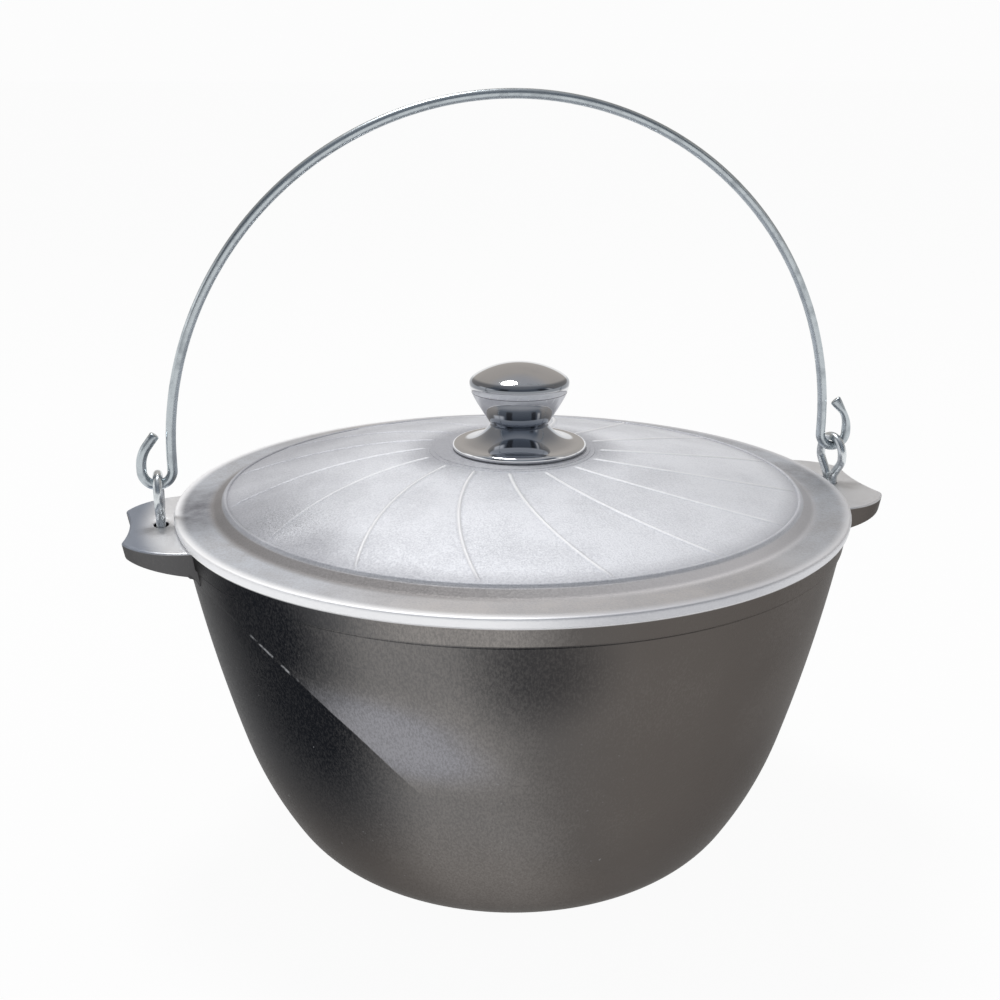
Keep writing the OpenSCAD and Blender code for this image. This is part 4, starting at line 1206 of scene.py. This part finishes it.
class CAULDRON_OT_stage(CauldronOperator, bpy.types.Operator):
    """Set up the pale floor, the studio light and the camera"""
    bl_idname = "cauldron.stage"
    bl_label = "Studio"

    def execute(self, context):
        scene = context.scene
        stage = scene.cauldron_stage
        self.floor(scene, stage)
        self.light(scene, stage)
        self.camera(scene, stage)
        scene.view_settings.view_transform = "Standard"
        return {"FINISHED"}

    def floor(self, scene, stage):
        """A flat square grid just below the base."""
        side = np.linspace(-stage.floor_half, stage.floor_half, 9)
        x, y = np.meshgrid(side, side)
        points = np.stack((x, y, np.full_like(x, -stage.floor_drop)), -1)
        tones = scene.cauldron_finish
        material, s, p, _ = new_finish("pale_floor")
        base = s.mix(s.noise(p, 3.0) * 0.1, tones.floor, tones.floor_mottle)
        lit = s.add("ShaderNodeBsdfPrincipled", inputs={"Base Color": base, "Roughness": 0.9})
        white = s.add("ShaderNodeEmission", inputs={"Color": (1.0, 1.0, 1.0, 1.0), "Strength": 1.0})
        seen = s.add("ShaderNodeLightPath", out="Is Camera Ray")
        for ray in ("Is Glossy Ray", "Is Transmission Ray"):
            seen = seen.at_least(s.add("ShaderNodeLightPath", out=ray))
        paper = s.add("ShaderNodeMixShader", inputs={0: seen * stage.paper_white, 1: lit, 2: white})
        s.add("ShaderNodeOutputMaterial", inputs={"Surface": paper})
        new_piece("floor", [grid_shell(points, close_columns=False)], material)

    def light(self, scene, stage):
        """A room seen in the metal, and one lamp high above, a little behind and at the left.

        A white horizon runs all round. Above it stand a beige wall behind the object, slightly darker
        walls at both sides and a dim front, under a grey ceiling. A low window lies at the left, and two
        dark doorways and a pale post stand at the sides and the front."""
        world = bpy.data.worlds.new("studio")
        scene.world = world
        s = Shade(world)
        direction = s.add("ShaderNodeTexCoord", out="Generated")
        heading = math.radians(stage.heading)
        behind = s.along(direction, (math.sin(heading), math.cos(heading), 0.0))
        right = s.along(direction, (math.cos(heading), -math.sin(heading), 0.0))
        up = s.add("ShaderNodeSeparateXYZ", inputs={"Vector": direction}, out=2)
        bearing = right.math("ARCTAN2", behind) * math.degrees(1.0)

        def upright(centre, half_width, top):
            """1 in an upright strip of the room, round a bearing in degrees and up to a height."""
            return abs(bearing - centre).ramp(half_width, 0.5 * half_width) * up.ramp(top, top - 0.15)

        room = s.mix(abs(right).ramp(0.25, 0.75), stage.wall, stage.side_wall)
        room = s.mix(behind.ramp(0.08, -0.16), room, stage.front)
        doorways = upright(-140.0, 16.0, 0.80).at_least(upright(124.0, 12.0, 0.80))
        room = s.mix(doorways, room, stage.doorway)
        room = s.mix(upright(103.0, 7.0, 0.70), room, stage.post)
        room = s.mix(up.ramp(0.72, 0.95), room, stage.ceiling)
        room = s.mix(upright(-95.0, 30.0, 0.50), room, 3 * (stage.window,))
        room = s.mix(up.ramp(0.20, 0.14), room, 3 * (stage.horizon,))
        glow = s.add("ShaderNodeBackground", inputs={"Color": room, "Strength": 1.0})
        s.add("ShaderNodeOutputWorld", inputs={"Surface": glow})
        lamp = bpy.data.lights.new("key", "AREA")
        lamp.shape = "DISK"
        lamp.size = stage.lamp_size
        lamp.energy = stage.lamp_power
        key = bpy.data.objects.new("key", lamp)
        key.matrix_world = look_matrix(LAMP_PLACE, LAMP_TARGET - LAMP_PLACE)
        scene.collection.objects.link(key)

    def camera(self, scene, stage):
        """The photograph's view: its place, its heading and its downward tilt."""
        lens = bpy.data.cameras.new("camera")
        lens.sensor_width = 36.0
        lens.lens = stage.focal_px / PHOTO_SIDE * lens.sensor_width
        lens.clip_start = 0.01
        heading, pitch = math.radians(stage.heading), math.radians(stage.pitch)
        forward = np.array((math.sin(heading) * math.cos(pitch), math.cos(heading) * math.cos(pitch),
                            -math.sin(pitch)))
        view = bpy.data.objects.new("camera", lens)
        view.matrix_world = look_matrix(np.array((stage.camera_x, stage.camera_y, stage.camera_z)), forward)
        scene.collection.objects.link(view)
        scene.camera = view


def look_matrix(place, forward):
    """Placement of a camera or lamp that looks along forward with +Z up in its picture."""
    forward = forward / np.linalg.norm(forward)
    right = np.cross(forward, (0.0, 0.0, 1.0))
    right /= np.linalg.norm(right)
    up = np.cross(right, forward)
    m = np.eye(4)
    m[:3, 0], m[:3, 1], m[:3, 2], m[:3, 3] = right, up, -forward, place
    return Matrix(m.tolist())


OPERATORS = (CAULDRON_OT_pot, CAULDRON_OT_lid, CAULDRON_OT_knob, CAULDRON_OT_bail, CAULDRON_OT_eyes,
             CAULDRON_OT_fixings, CAULDRON_OT_stage)


class CAULDRON_PT_panel(bpy.types.Panel):
    """Lists the pieces of the cauldron"""
    bl_idname = "CAULDRON_PT_panel"
    bl_label = "Camp Cauldron"
    bl_space_type = "VIEW_3D"
    bl_region_type = "UI"
    bl_category = "Cauldron"

    def draw(self, context):
        for operator in OPERATORS:
            self.layout.operator(operator.bl_idname)


CLASSES = (*GROUPS.values(), *OPERATORS, CAULDRON_PT_panel)


def register():
    for cls in CLASSES:
        bpy.utils.register_class(cls)
    for name, group in GROUPS.items():
        setattr(bpy.types.Scene, name, PointerProperty(type=group))


def unregister():
    for name in GROUPS:
        delattr(bpy.types.Scene, name)
    for cls in reversed(CLASSES):
        bpy.utils.unregister_class(cls)


def main():
    register()
    bpy.ops.cauldron.stage()
    bpy.ops.cauldron.pot()
    bpy.ops.cauldron.lid()
    bpy.ops.cauldron.knob()
    bpy.ops.cauldron.bail()
    bpy.ops.cauldron.eyes()
    bpy.ops.cauldron.fixings()


if __name__ == "__main__":
    main()
